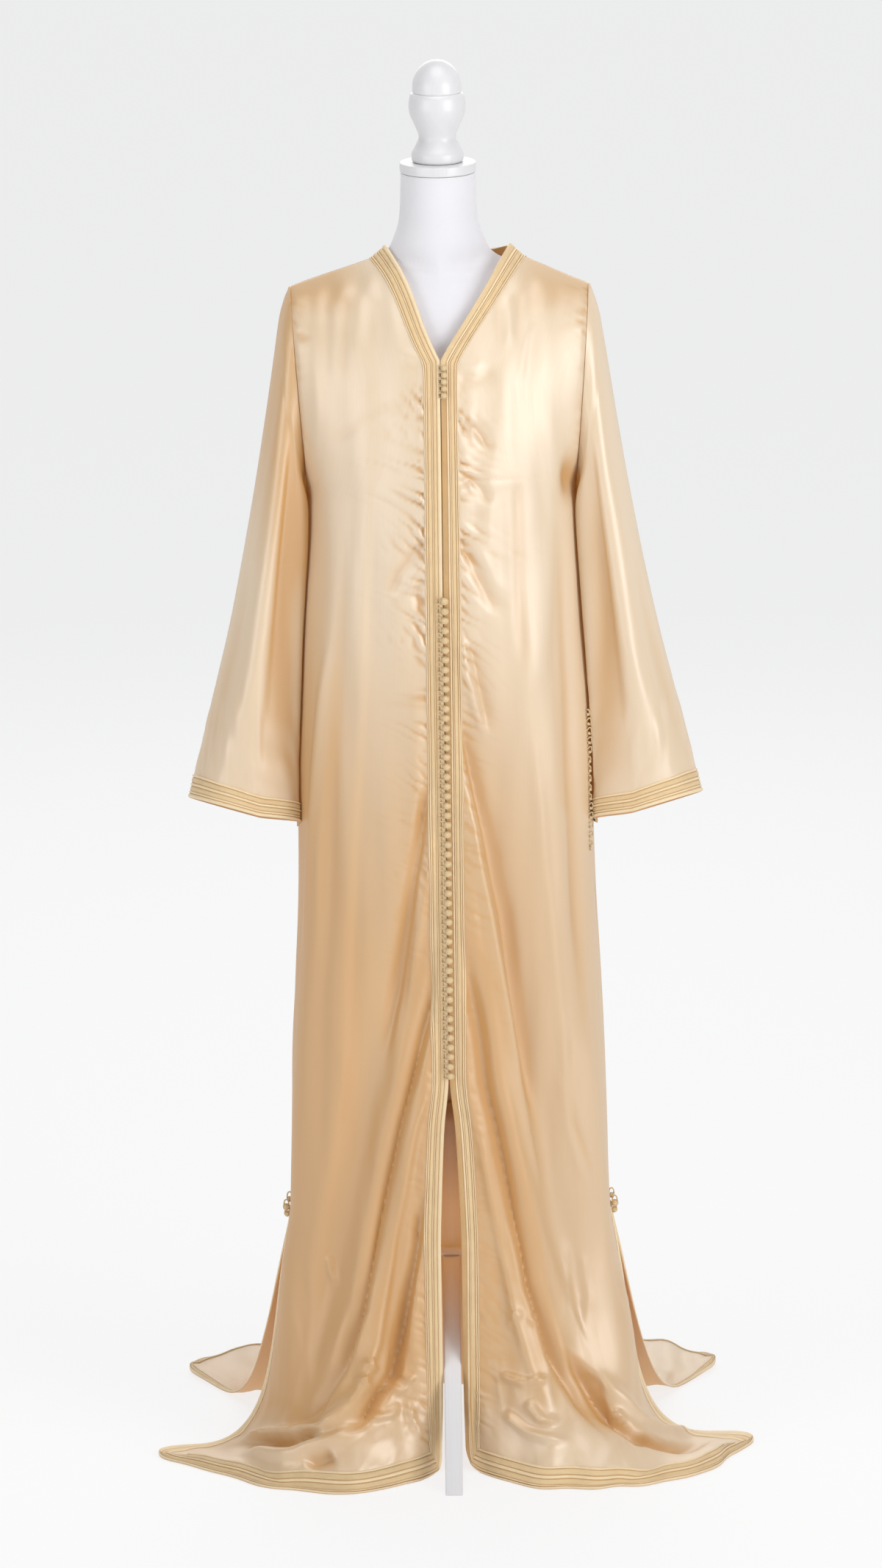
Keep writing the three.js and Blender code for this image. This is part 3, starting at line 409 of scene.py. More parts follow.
def half_panel(rows, face, floor, folds, back_sign=0):
    """Half a body panel with x positive. back_sign says which half of the back it is for."""
    front = back_sign == 0
    fine = FRONT_FINE if front else BACK_FINE
    arm_rows, body_rows, _, hem_rows = fine["rows"]
    arm = np.cos(np.linspace(0, math.pi, arm_rows + 1))
    middle = (ARMHOLE["top_z"] + ARMHOLE["low_z"]) / 2
    heights = np.concatenate([
        middle + (ARMHOLE["top_z"] - middle) * arm,
        np.linspace(ARMHOLE["low_z"], FLARE["top"], body_rows + 1)[1:],
    ])
    t = np.clip((ARMHOLE["top_z"] - heights) / (ARMHOLE["top_z"] - ARMHOLE["low_z"]), 0, 1)
    if front:
        side, place = np.repeat(heights[:, None], sum(fine["cols"]) + 1, 1), front_layout(fine)
    else:
        side, place = back_layout(fine, t, heights)
    upper, total = section(rows, side, place, face)
    share = place(total) / total
    lower = flared(upper[-1], floor, share[-1], fine)
    grid = np.concatenate([upper, lower])
    share = np.concatenate([share, np.repeat(share[-1:], len(lower), 0)])
    keep = np.zeros(grid.shape[:2])
    keep[-hem_rows - 1:] = 1
    keep[:3] = 1
    if front:
        sharp = np.exp(-((grid[..., 2] - NECK["v_point"]) / 22) ** 2)
        keep = np.maximum(keep, sharp * smooth((80 - np.abs(grid[..., 0])) / 50))
    slit = np.abs(grid[:, -1, 2] - FLARE["top"]) < 40
    keep[slit, -1] = 1
    grid = eased(grid, EASING, keep)
    signed = share * (back_sign or 1)
    grid += normals_of(grid, face) * big_folds(folds, signed, grid[..., 2], front)[..., None]
    if front:
        from_edge = np.clip(1 - np.arange(grid.shape[1]) / fine["cols"][0], 0, 1)[None, :]
        stand = np.interp(-heights, [-1459, -1449.6, -1423, -1383], [1, 0.7, 0.3, 0])
        lift = from_edge * np.concatenate([stand, np.zeros(len(lower))])[:, None]
    else:
        down = np.linalg.norm(grid - grid[:1], axis=-1)
        at_neck = smooth((SHOULDER["neck"] + 8 - grid[:1, :, 0]) / 12)
        lift = np.clip(1 - down / BRAID, 0, 1) * at_neck
    grid[..., 2] += NECK["stand"] * lift
    grid[..., 2] = np.maximum(grid[..., 2], CLOTH_TOP)
    return grid


print("half a panel is smoothed", EASING, "times down its columns")


# %% The three panels
def sampled(grid, i, j):
    """Points of a grid between its rows and columns, and a little beyond them."""
    a = np.clip(np.floor(i).astype(int), 0, grid.shape[0] - 2)
    b = np.clip(np.floor(j).astype(int), 0, grid.shape[1] - 2)
    u, v = (i - a)[..., None], (j - b)[..., None]
    first = grid[a, b] * (1 - u) + grid[a + 1, b] * u
    second = grid[a, b + 1] * (1 - u) + grid[a + 1, b + 1] * u
    return first * (1 - v) + second * v


def mirrored(grid):
    """The same panel on the other side of the body."""
    return grid[:, ::-1] * [-1, 1, 1]


def neck_moved(grid):
    """The grid with its neckline sat over to the wearer's left, as the dress hangs."""
    slope = SHOULDER["tip"] - SHOULDER["neck"]
    inward = smooth((SHOULDER["tip"] - np.abs(grid[..., 0])) / slope)
    grid[..., 0] += NECK["shift"] * inward * smooth((grid[..., 2] - NECK["v_point"]) / NECK["rise"])
    return grid


left_half = half_panel(FRONT_ROWS, -1, FLOOR_LEFT, FOLDS_LEFT)
right_half = half_panel(FRONT_ROWS, -1, FLOOR_RIGHT, FOLDS_RIGHT)
back_left = half_panel(BACK_ROWS, 1, FLOOR_BACK, FOLDS_BACK, 1)
back_right = half_panel(BACK_ROWS, 1, FLOOR_BACK, FOLDS_BACK, -1)
GRIDS = {
    "front_left": neck_moved(left_half),
    "front_right": neck_moved(mirrored(right_half)),
    "back": neck_moved(np.concatenate([mirrored(back_right)[:, :-1], back_left], 1)),
}
# The two halves of the back meet in a slight ridge, which is smoothed across the middle.
MIDDLE_PASSES, MIDDLE_REACH = 40, 45
back = GRIDS["back"]
for _ in range(MIDDLE_PASSES):
    soft = (back[:, :-2] + 2 * back[:, 1:-1] + back[:, 2:]) / 4
    in_middle = np.exp(-((back[:, 1:-1, :1] / MIDDLE_REACH) ** 2))
    back[:, 1:-1] += (soft - back[:, 1:-1]) * in_middle
for name, grid in GRIDS.items():
    print(name, "has", grid.shape[0], "rows of", grid.shape[1], "points")

# %% [markdown]
# ## From a grid to a piece
# Cloth is never a bare surface here: every sheet is a thin closed wall with an outer face, an
# inner face and a rim, so it has an edge to look at and a mesh without holes. Each piece also gets
# a UV map named "pattern" that holds its flat lengths in metres, as on the cutting table, and the
# threads of every finish follow that map.


# %% From a grid to a piece
def run_across(grid):
    """How far along its row each point lies from the first column, in millimetres."""
    return np.cumsum(np.linalg.norm(np.diff(grid, axis=1, prepend=grid[:, :1]), axis=-1), 1)


def run_down(grid):
    """How far down its column each point lies from the first row, in millimetres."""
    return np.cumsum(np.linalg.norm(np.diff(grid, axis=0, prepend=grid[:1]), axis=-1), 0)


def pattern_map(grid):
    """Distances over a grid in metres: across its rows from the middle, and down its columns."""
    across = run_across(grid)
    return np.stack([across - across[:, -1:] / 2, run_down(grid)], -1) * MM


def quads(ids):
    """The four-sided faces between the points of a grid."""
    return np.stack([ids[:-1, :-1], ids[1:, :-1], ids[1:, 1:], ids[:-1, 1:]], -1).reshape(-1, 4)


def piece_of(name, points, faces, uv, finish, stands_for=(), crisp=50):
    """A mesh in the row frame. points are in millimetres about the form's axis; faces are lists."""
    sizes = np.array([len(f) for f in faces])
    corners = np.concatenate([np.asarray(f) for f in faces]).astype(np.int32)
    co = np.asarray(points, float).reshape(-1, 3) * MM + AXIS
    mesh = bpy.data.meshes.new(name)
    mesh.vertices.add(len(co))
    mesh.vertices.foreach_set("co", co.astype(np.float32).ravel())
    mesh.loops.add(len(corners))
    mesh.loops.foreach_set("vertex_index", corners)
    mesh.polygons.add(len(sizes))
    mesh.polygons.foreach_set("loop_start", (np.cumsum(sizes) - sizes).astype(np.int32))
    layer = mesh.uv_layers.new(name="pattern", do_init=False)
    flat = np.asarray(uv, float).reshape(-1, 2)[corners]
    layer.uv.foreach_set("vector", flat.astype(np.float32).ravel())
    mesh.update(calc_edges=True)
    mesh.validate()
    mesh.shade_smooth()
    mesh.set_sharp_from_angle(angle=math.radians(crisp))
    mesh.materials.append(finish)
    piece = bpy.data.objects.new(name, mesh)
    bpy.context.scene.collection.objects.link(piece)
    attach(piece, "root")
    if stands_for:
        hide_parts(*stands_for)
    return piece


def facing_out(points, faces):
    """The faces turned so that the closed mesh encloses a positive volume."""
    p = points.reshape(-1, 3) - points.reshape(-1, 3).mean(0)
    volume = sum(
        np.einsum("ij,ij->i", p[f[:, 0]], np.cross(p[f[:, k]], p[f[:, k + 1]])).sum()
        for f in faces for k in range(1, f.shape[1] - 1)
    )
    return faces if volume > 0 else [f[:, ::-1] for f in faces]


# The inner face of every wall is painted in shade, so it comes out warm gold.
INNER_SHADE = 0.95  # how far in shade the inner face of every wall is


def wall(name, outer, inner, shade, finish, stands_for, wrap=False):
    """A closed thin wall between two grids; wrap joins the last column to the first. shade, from
    0 to 1, is kept on the mesh for the finish, which paints it as shade; the inside of the wall is
    painted all in shade."""
    rows, cols = outer.shape[:2]
    ids = np.arange(rows * cols).reshape(rows, cols)
    if wrap:
        ids = np.concatenate([ids, ids[:, :1]], 1)
    far = ids + rows * cols
    faces = [quads(ids), quads(far)[:, ::-1]]
    ends = [(ids[0], far[0], 1), (ids[-1], far[-1], -1)]
    if not wrap:
        ends += [(ids[:, 0], far[:, 0], -1), (ids[:, -1], far[:, -1], 1)]
    for a, b, turn in ends:
        rim = np.stack([a[1:], b[1:], b[:-1], a[:-1]], -1)[:, ::turn]
        faces.append(rim)
    points = np.stack([outer, inner])
    flat = pattern_map(outer)
    faces = [list(row) for f in facing_out(points, faces) for row in f]
    made = piece_of(name, points, faces, np.stack([flat, flat]), finish, stands_for)
    layer = made.data.attributes.new("shade", "FLOAT", "POINT")
    both = np.stack([shade, 0 * shade + INNER_SHADE]).astype(np.float32)
    layer.data.foreach_set("value", both.ravel())
    return made


def loft(rings, hoop=False):
    """The points, faces and pattern of a solid through rings; a hoop joins its last ring to its
    first and has no ends."""
    n, m = rings.shape[:2]
    ids = np.arange(n * m).reshape(n, m)
    ids = np.concatenate([ids, ids[:, :1]], 1)
    if hoop:
        ids = np.concatenate([ids, ids[:1]])
    faces = [quads(ids)]
    if not hoop:
        faces += [ids[:1, :-1], ids[-1:, :-1][:, ::-1]]
    faces = [list(row) for f in facing_out(rings, faces) for row in f]
    return rings.reshape(-1, 3), faces, pattern_map(rings).reshape(-1, 2)


def together(shapes):
    """Several shapes as the points, faces and pattern of one mesh."""
    points, faces, uv, start = [], [], [], 0
    for p, f, u in shapes:
        faces += [[k + start for k in face] for face in f]
        points.append(p)
        uv.append(u)
        start += len(p)
    return np.concatenate(points), faces, np.concatenate(uv)


def tube(path, radius, around=8, hoop=False):
    """A round cord along a path of points; radius may be one number or one for each point."""
    path = np.asarray(path, float)
    along = np.roll(path, -1, 0) - np.roll(path, 1, 0) if hoop else np.gradient(path, axis=0)
    along /= np.maximum(np.linalg.norm(along, axis=1, keepdims=True), 1e-9)
    hint = np.tile([0.31, 0.9, 0.27], (len(path), 1))
    side = np.cross(along, hint)
    side /= np.linalg.norm(side, axis=1, keepdims=True)
    other = np.cross(along, side)
    angle = np.arange(around) * 2 * math.pi / around
    cos, sin = np.cos(angle)[None, :, None], np.sin(angle)[None, :, None]
    ring = side[:, None] * cos + other[:, None] * sin
    return loft(path[:, None] + ring * np.broadcast_to(radius, len(path))[:, None, None], hoop)


print("helpers ready: wall, loft, together and tube make every mesh of the dress")

# %% [markdown]
# ## Threads, twists and handling
# Satin, braid, cord and jersey are all thread, so they share effects. Each effect is one node
# group with named inputs and outputs that gives heights and masks only; the shader stays in each
# material, with its own values. Three groups are enough: fine threads that run down the pattern,
# the slanted turns of braided thread, and the uneven tone that dye and handling leave, whose
# specks also place the painted glints on gold thread.


# %% Node helpers
def group(name, inputs, outputs):
    """A new node group: its tree, its input node and its output node."""
    tree = bpy.data.node_groups.new(name, "ShaderNodeTree")
    for label, kind, value in inputs:
        socket = tree.interface.new_socket(label, in_out="INPUT", socket_type=kind)
        if value is not None:
            socket.default_value = value
    for label, kind in outputs:
        tree.interface.new_socket(label, in_out="OUTPUT", socket_type=kind)
    return tree, tree.nodes.new("NodeGroupInput"), tree.nodes.new("NodeGroupOutput")


def feed(tree, socket, value):
    """Give a socket its value, or a link where the value is the output of another node."""
    if isinstance(value, bpy.types.NodeSocket):
        tree.links.new(value, socket)
    else:
        socket.default_value = value


def put(tree, kind, settings=(), **sockets):
    """One node. settings are its own properties; sockets are fed by name, or by number as n0."""
    node = tree.nodes.new(kind)
    for key, value in dict(settings).items():
        setattr(node, key, value)
    for key, value in sockets.items():
        numbered = key[0] == "n" and key[1:].isdigit()
        feed(tree, node.inputs[int(key[1:]) if numbered else key.replace("_", " ")], value)
    return node


def calc(tree, operation, a, b=0.0, c=0.0):
    """The output of a math node."""
    return put(tree, "ShaderNodeMath", {"operation": operation}, n0=a, n1=b, n2=c).outputs[0]


def between(tree, low, high, factor):
    """A colour between two others; each may be a colour or a link."""
    node = tree.nodes.new("ShaderNodeMix")
    node.data_type = "RGBA"
    for socket, value in ((0, factor), (6, low), (7, high)):
        feed(tree, node.inputs[socket], value)
    return node.outputs[2]


print("node helpers ready")

# %% Fine threads
VALUE, VECTOR = "NodeSocketFloat", "NodeSocketVector"
SLUBS_ACROSS, SLUBS_ALONG = 420.0, 9.0  # thicker threads in a metre of cloth, and their turns
threads, given, out = group(
    "fine threads",
    [("Pattern", VECTOR, None), ("Across", VALUE, 2600.0),
     ("Along", VALUE, 180.0), ("Slub", VALUE, 0.4)],
    [("Height", VALUE), ("Tone", VALUE)],
)
sides = put(threads, "ShaderNodeSeparateXYZ", n0=given.outputs["Pattern"])
stretched = put(
    threads, "ShaderNodeCombineXYZ",
    X=calc(threads, "MULTIPLY", sides.outputs[0], given.outputs["Across"]),
    Y=calc(threads, "MULTIPLY", sides.outputs[1], given.outputs["Along"]),
)
floats = put(
    threads, "ShaderNodeTexNoise", {"noise_dimensions": "2D"},
    Vector=stretched.outputs[0], Scale=1.0, Detail=2.0, Roughness=0.6,
)
long_way = put(
    threads, "ShaderNodeCombineXYZ",
    X=calc(threads, "MULTIPLY", sides.outputs[0], SLUBS_ACROSS),
    Y=calc(threads, "MULTIPLY", sides.outputs[1], SLUBS_ALONG),
)
slubs = put(
    threads, "ShaderNodeTexNoise", {"noise_dimensions": "2D"},
    Vector=long_way.outputs[0], Scale=1.0, Detail=3.0, Roughness=0.55,
)
slub_height = calc(threads, "MULTIPLY", slubs.outputs[0], given.outputs["Slub"])
threads.links.new(calc(threads, "ADD", floats.outputs[0], slub_height), out.inputs["Height"])
threads.links.new(slubs.outputs[0], out.inputs["Tone"])
print("group:", threads.name)

# %% Slanted turns of braided thread
turns, given, out = group(
    "braided turns",
    [("Pattern", VECTOR, None), ("Pitch", VALUE, 420.0),
     ("Slant", VALUE, 300.0), ("Plaits", VALUE, 250.0)],
    [("Height", VALUE), ("Gap", VALUE)],
)
sides = put(turns, "ShaderNodeSeparateXYZ", n0=given.outputs["Pattern"])
plaits = calc(turns, "MULTIPLY", sides.outputs[0], given.outputs["Plaits"])
zigzag = calc(turns, "PINGPONG", plaits, 0.5)
slope = calc(turns, "DIVIDE", given.outputs["Slant"], given.outputs["Plaits"])
slanted = calc(turns, "MULTIPLY", zigzag, slope)
run = calc(turns, "ADD", calc(turns, "MULTIPLY", sides.outputs[1], given.outputs["Pitch"]), slanted)
ridge = calc(turns, "ABSOLUTE", calc(turns, "SINE", calc(turns, "MULTIPLY", run, math.pi)))
turns.links.new(calc(turns, "POWER", ridge, 0.6), out.inputs["Height"])
turns.links.new(calc(turns, "POWER", calc(turns, "SUBTRACT", 1.0, ridge), 3.0), out.inputs["Gap"])
print("group:", turns.name)

# %% Uneven tone from dye and handling
uneven, given, out = group(
    "uneven tone",
    [("Place", VECTOR, None), ("Size", VALUE, 9.0), ("Speckle", VALUE, 600.0)],
    [("Cloud", VALUE), ("Speck", VALUE)],
)
cloud = put(
    uneven, "ShaderNodeTexNoise",
    Vector=given.outputs["Place"], Scale=given.outputs["Size"], Detail=4.0, Roughness=0.55,
)
speck = put(
    uneven, "ShaderNodeTexNoise",
    Vector=given.outputs["Place"], Scale=given.outputs["Speckle"], Detail=2.0, Roughness=0.5,
)
uneven.links.new(cloud.outputs[0], out.inputs["Cloud"])
# The specks also place the painted glints of gold thread.
uneven.links.new(speck.outputs[0], out.inputs["Speck"])
print("group:", uneven.name)


# %% A material to start from
def material(name, **shader):
    """A material with its Principled shader, its pattern map and its place in the row frame."""
    made = bpy.data.materials.new(name)
    made.use_nodes = True
    tree = made.node_tree
    bsdf = tree.nodes["Principled BSDF"]
    for key, value in shader.items():
        bsdf.inputs[key.replace("_", " ")].default_value = value
    pattern = put(tree, "ShaderNodeUVMap", {"uv_map": "pattern"}).outputs[0]
    place = put(tree, "ShaderNodeTexCoord").outputs["Object"]
    return made, tree, bsdf, pattern, place


def use(tree, effect, **sockets):
    """The outputs of a node group put into a material."""
    return put(tree, "ShaderNodeGroup", {"node_tree": effect}, **sockets).outputs


def bumped(tree, bsdf, height, strength, distance):
    """Let a height tilt the normals of a material."""
    bump = put(tree, "ShaderNodeBump", Height=height, Strength=strength, Distance=distance)
    tree.links.new(bump.outputs[0], bsdf.inputs["Normal"])


def rgb(r, g, b):
    """A colour from the usual 0 to 255 numbers, made linear for the shader."""
    lin = [c / 255 / 12.92 if c <= 10 else ((c / 255 + 0.055) / 1.055) ** 2.4 for c in (r, g, b)]
    return (*lin, 1.0)


print("a material starts with a shader, the map \"pattern\" and its place in the frame")


# %% [markdown]
# ## Satin
# Champagne satin is woven so that long threads lie on its face. They all run one way, so a
# highlight is drawn out across them: that is an anisotropic gloss, with its tangent from the
# pattern map. The colour of the cloth is painted: pale where light falls on it, and warm gold
# where it lies in shade or where light has come off more satin first: in the folds, low down,
# beside the opening, on the wearer's right, at the shoulders and inside. The mask "shade" in each
# mesh says how much painted shade there is, and the finish mixes the two. Where that shade is
# deepest, on inner faces and in crevices, the satin also has a painted gold glow that stands for
# light coming through the cloth.

# %% Satin
satin, tree, bsdf, pattern, place = material(
    "champagne satin", IOR=2.1, Specular_IOR_Level=0.5, Anisotropic=0.4,
    Sheen_Weight=0.05, Sheen_Roughness=0.4,
)
bsdf.inputs["Sheen Tint"].default_value = rgb(255, 240, 214)
tangent = put(tree, "ShaderNodeTangent", {"direction_type": "UV_MAP", "uv_map": "pattern"})
tree.links.new(tangent.outputs[0], bsdf.inputs["Tangent"])
thread = use(tree, threads, Pattern=pattern, Across=2600.0, Along=160.0, Slub=0.5)
tone = use(tree, uneven, Place=place, Size=5.0, Speckle=420.0)
shade = put(tree, "ShaderNodeAttribute", {"attribute_name": "shade"}).outputs["Fac"]
pale = between(tree, rgb(223, 201, 171), rgb(228, 208, 181), tone["Cloud"])
pale = between(tree, pale, rgb(212, 182, 142), calc(tree, "MULTIPLY", thread["Tone"], 0.25))
# The deepest painted shade, on inner faces and in crevices.
inside = calc(tree, "POWER", shade, 12.0)
# Painted shade: pale where light falls, gold where the mask says shade, deeper gold where it is
# deepest.
base = between(tree, pale, rgb(201, 154, 90), shade)
tree.links.new(between(tree, base, rgb(184, 130, 64), inside), bsdf.inputs["Base Color"])
thread_rough = calc(tree, "MULTIPLY_ADD", thread["Tone"], 0.1, 0.38)
rough = calc(tree, "MULTIPLY_ADD", inside, 0.3, thread_rough)
# Painted glow: where the painted shade is deepest the satin glows gold, standing for light through
# the cloth.
glow = between(tree, (0.0, 0.0, 0.0, 1.0), rgb(190, 130, 58), inside)
tree.links.new(glow, bsdf.inputs["Emission Color"])
bsdf.inputs["Emission Strength"].default_value = 0.25
tree.links.new(rough, bsdf.inputs["Roughness"])
bumped(tree, bsdf, thread["Height"], 0.22, 0.00018)
print("material:", satin.name)

# %% [markdown]
# ## Gold braid and knotted cord
# Sfifa is braided from thread wound with gold, so it is part metal, part silk. Its colour is
# lighter on the crown of each turn and brown in the gaps between them, and a few specks are
# painted as bright glints. The knots are tied from the same cord, but with more silk in it, so
# they are paler and less metallic.


# %% Gold braid and knotted cord
def gold_thread(name, crown, gap, metal, roughness, pitch, slant, plaits, depth):
    """Braided thread: its colours on the crowns and in the gaps, and how its turns run."""
    made, tree, bsdf, pattern, place = material(
        name, Metallic=metal, Roughness=roughness, Sheen_Weight=0.15, Sheen_Roughness=0.4,
    )
    turn = use(tree, turns, Pattern=pattern, Pitch=pitch, Slant=slant, Plaits=plaits)
    tone = use(tree, uneven, Place=place, Size=60.0, Speckle=1400.0)
    base = between(tree, crown, gap, calc(tree, "MULTIPLY", turn["Gap"], 0.75))
    # Painted glints: a few specks of the thread are coloured near white.
    glint = between(tree, base, rgb(250, 236, 204), calc(tree, "POWER", tone["Speck"], 4.0))
    worn = between(tree, glint, gap, calc(tree, "MULTIPLY", tone["Cloud"], 0.25))
    tree.links.new(worn, bsdf.inputs["Base Color"])
    rough = calc(tree, "MULTIPLY_ADD", turn["Gap"], 0.3, roughness)
    tree.links.new(rough, bsdf.inputs["Roughness"])
    height = calc(tree, "MULTIPLY_ADD", tone["Speck"], 0.3, turn["Height"])
    bumped(tree, bsdf, height, 0.8, depth)
    return made


braid = gold_thread(
    "gold sfifa braid", rgb(250, 221, 172), rgb(138, 94, 46), metal=0.15, roughness=0.42,
    pitch=560.0, slant=520.0, plaits=420.0, depth=0.0005,
)
piping = gold_thread(
    "silk piping", rgb(248, 228, 190), rgb(196, 156, 102), metal=0.05, roughness=0.38,
    pitch=520.0, slant=260.0, plaits=150.0, depth=0.0003,
)
ground = gold_thread(
    "braid ground", rgb(212, 170, 114), rgb(140, 98, 50), metal=0.1, roughness=0.6,
    pitch=560.0, slant=300.0, plaits=300.0, depth=0.0003,
)
cord = gold_thread(
    "knotted silk cord", rgb(238, 211, 163), rgb(146, 100, 48), metal=0.05, roughness=0.45,
    pitch=520.0, slant=420.0, plaits=300.0, depth=0.0004,
)
print("materials:", braid.name, piping.name, ground.name, cord.name)

# %% [markdown]
# ## Jersey and paint
# The form is covered in white jersey, a fine knit that scatters light, and its turned and sawn
# parts are wood under white satin paint, which lets a little of the grain through and is never
# quite even.

# %% Jersey and paint
jersey, tree, bsdf, pattern, place = material(
    "white jersey", Roughness=0.85, Sheen_Weight=0.3, Sheen_Roughness=0.5,
)
knit = use(tree, turns, Pattern=pattern, Pitch=700.0, Slant=700.0, Plaits=700.0)
tone = use(tree, uneven, Place=place, Size=12.0, Speckle=900.0)
base = between(tree, rgb(222, 221, 226), rgb(228, 228, 232), tone["Cloud"])
gap = calc(tree, "MULTIPLY", knit["Gap"], 0.5)
tree.links.new(between(tree, base, rgb(206, 205, 214), gap), bsdf.inputs["Base Color"])
bumped(tree, bsdf, calc(tree, "ADD", knit["Height"], tone["Speck"]), 0.35, 0.0003)

paint, tree, bsdf, pattern, place = material(
    "white satin paint", Roughness=0.38, Coat_Weight=0.25, Coat_Roughness=0.2,
    Specular_IOR_Level=0.5,
)
grain = use(tree, threads, Pattern=pattern, Across=900.0, Along=30.0, Slub=0.8)
tone = use(tree, uneven, Place=place, Size=14.0, Speckle=260.0)
base = between(tree, rgb(216, 216, 219), rgb(223, 223, 225), tone["Cloud"])
worn = calc(tree, "MULTIPLY", grain["Tone"], 0.3)
tree.links.new(between(tree, base, rgb(198, 196, 199), worn), bsdf.inputs["Base Color"])
tree.links.new(calc(tree, "MULTIPLY_ADD", tone["Speck"], 0.18, 0.3), bsdf.inputs["Roughness"])
bumped(tree, bsdf, calc(tree, "ADD", grain["Height"], tone["Speck"]), 0.15, 0.0002)
print("materials:", jersey.name, paint.name)

# %% [markdown]
# ## Creases and puckers
# A cloth simulation gives folds of its own choosing, so the folds that this dress hangs in are
# laid one by one instead: each crease is a line on the cloth with a width and a height, soft at
# both ends. Puckers are different: a braid sewn to satin holds it a little short, and the slack
# shows as many small slanted waves along the seam, so a formula draws them, with seeded unevenness.


# %% Creases and puckers
def waves(p, q, size, seed, count=12):
    """Soft uneven waves of about that size, from -1 to 1."""
    draw = np.random.default_rng(seed)
    total = np.zeros(np.broadcast(p, q).shape)
    for _ in range(count):
        angle, phase = draw.uniform(0, 2 * math.pi, 2)
        scale = draw.uniform(0.7, 1.5)
        k = 2 * math.pi / (size * scale)
        total += np.sin(k * (p * math.cos(angle) + q * math.sin(angle)) + phase)
    return total / math.sqrt(count) / 1.5


def crumple(p, q, size, seed):
    """Small ridges between flatter facets, as in cloth that was folded away, from -0.5 to 1."""
    first, second = waves(p, q, size, seed), waves(p, q, size * 0.55, seed + 500)
    return np.exp(-np.abs(first) * 3.4) + 0.5 * np.exp(-np.abs(second) * 2.6) - 0.5


FINEST = 5.2  # the narrowest crease that the grid can draw, in millimetres


def creases(u, h, lines):
    """The height of all the creases at points u, h. Each line is (points, inner width, outer
    width, out), where inner is the side towards the centre of the front."""
    total = np.zeros_like(u)
    for points, inner, outer, out in lines:
        p = np.array(points, float)
        step = np.diff(p, axis=0)
        length = np.linalg.norm(step, axis=1)
        before = np.concatenate([[0], np.cumsum(length)])
        near, side, place = np.full(u.shape, 1e9), np.zeros_like(u), np.zeros_like(u)
        for a, d, l, b in zip(p, step, length, before):
            held = np.clip(((u - a[0]) * d[0] + (h - a[1]) * d[1]) / l**2, 0, 1)
            off_u, off_h = u - a[0] - held * d[0], h - a[1] - held * d[1]
            off = np.hypot(off_u, off_h)
            closer = off < near
            near = np.where(closer, off, near)
            side = np.where(closer, off_u, side)
            place = np.where(closer, (b + held * l) / before[-1], place)
        width = np.maximum(mix(inner, outer, smooth(0.5 + side / (inner + outer))), FINEST)
        ends = smooth(0.06 + place / 0.2) * smooth(0.06 + (1 - place) / 0.3)
        total += out * ends * np.exp(-((near / width) ** 2))
    return total


def puckers(off, run, seed, pitch=13.0, out=1.3, reach=13.0, lean=0.02):
    """Small waves beside a seam. off is the distance from the seam, run the way along it, and
    lean how much the waves slant."""
    def along(size, own):
        return waves(run, 0 * run, size, seed + own)

    at = run / pitch + 0.5 * along(60, 0) + 0.25 * along(17, 1)
    slant = 0.03 * along(150, 2) + lean
    strength = np.clip(0.55 + 0.7 * along(45, 3), 0.05, 1.4)
    length = reach * np.clip(1 + 0.6 * along(26, 4), 0.4, 2)
    phase = 2 * math.pi * (at + slant * off)
    wave = np.sin(phase) + 0.1 * np.sin(2 * phase + 1)
    rise = smooth(off / 3.0) * np.exp(-np.maximum(off, 0) / length)
    return out * strength * wave * rise * (off > 0)


print("crease helpers ready")

# %% [markdown]
# ## Where the creases lie
# Each line below is a crease, marked on the flat pattern: its points as (distance from the centre
# edge, height above the hem), its width towards the centre and away from it, and how far it stands
# out of the cloth, or into it where that is negative. The wearer's right front comes first.

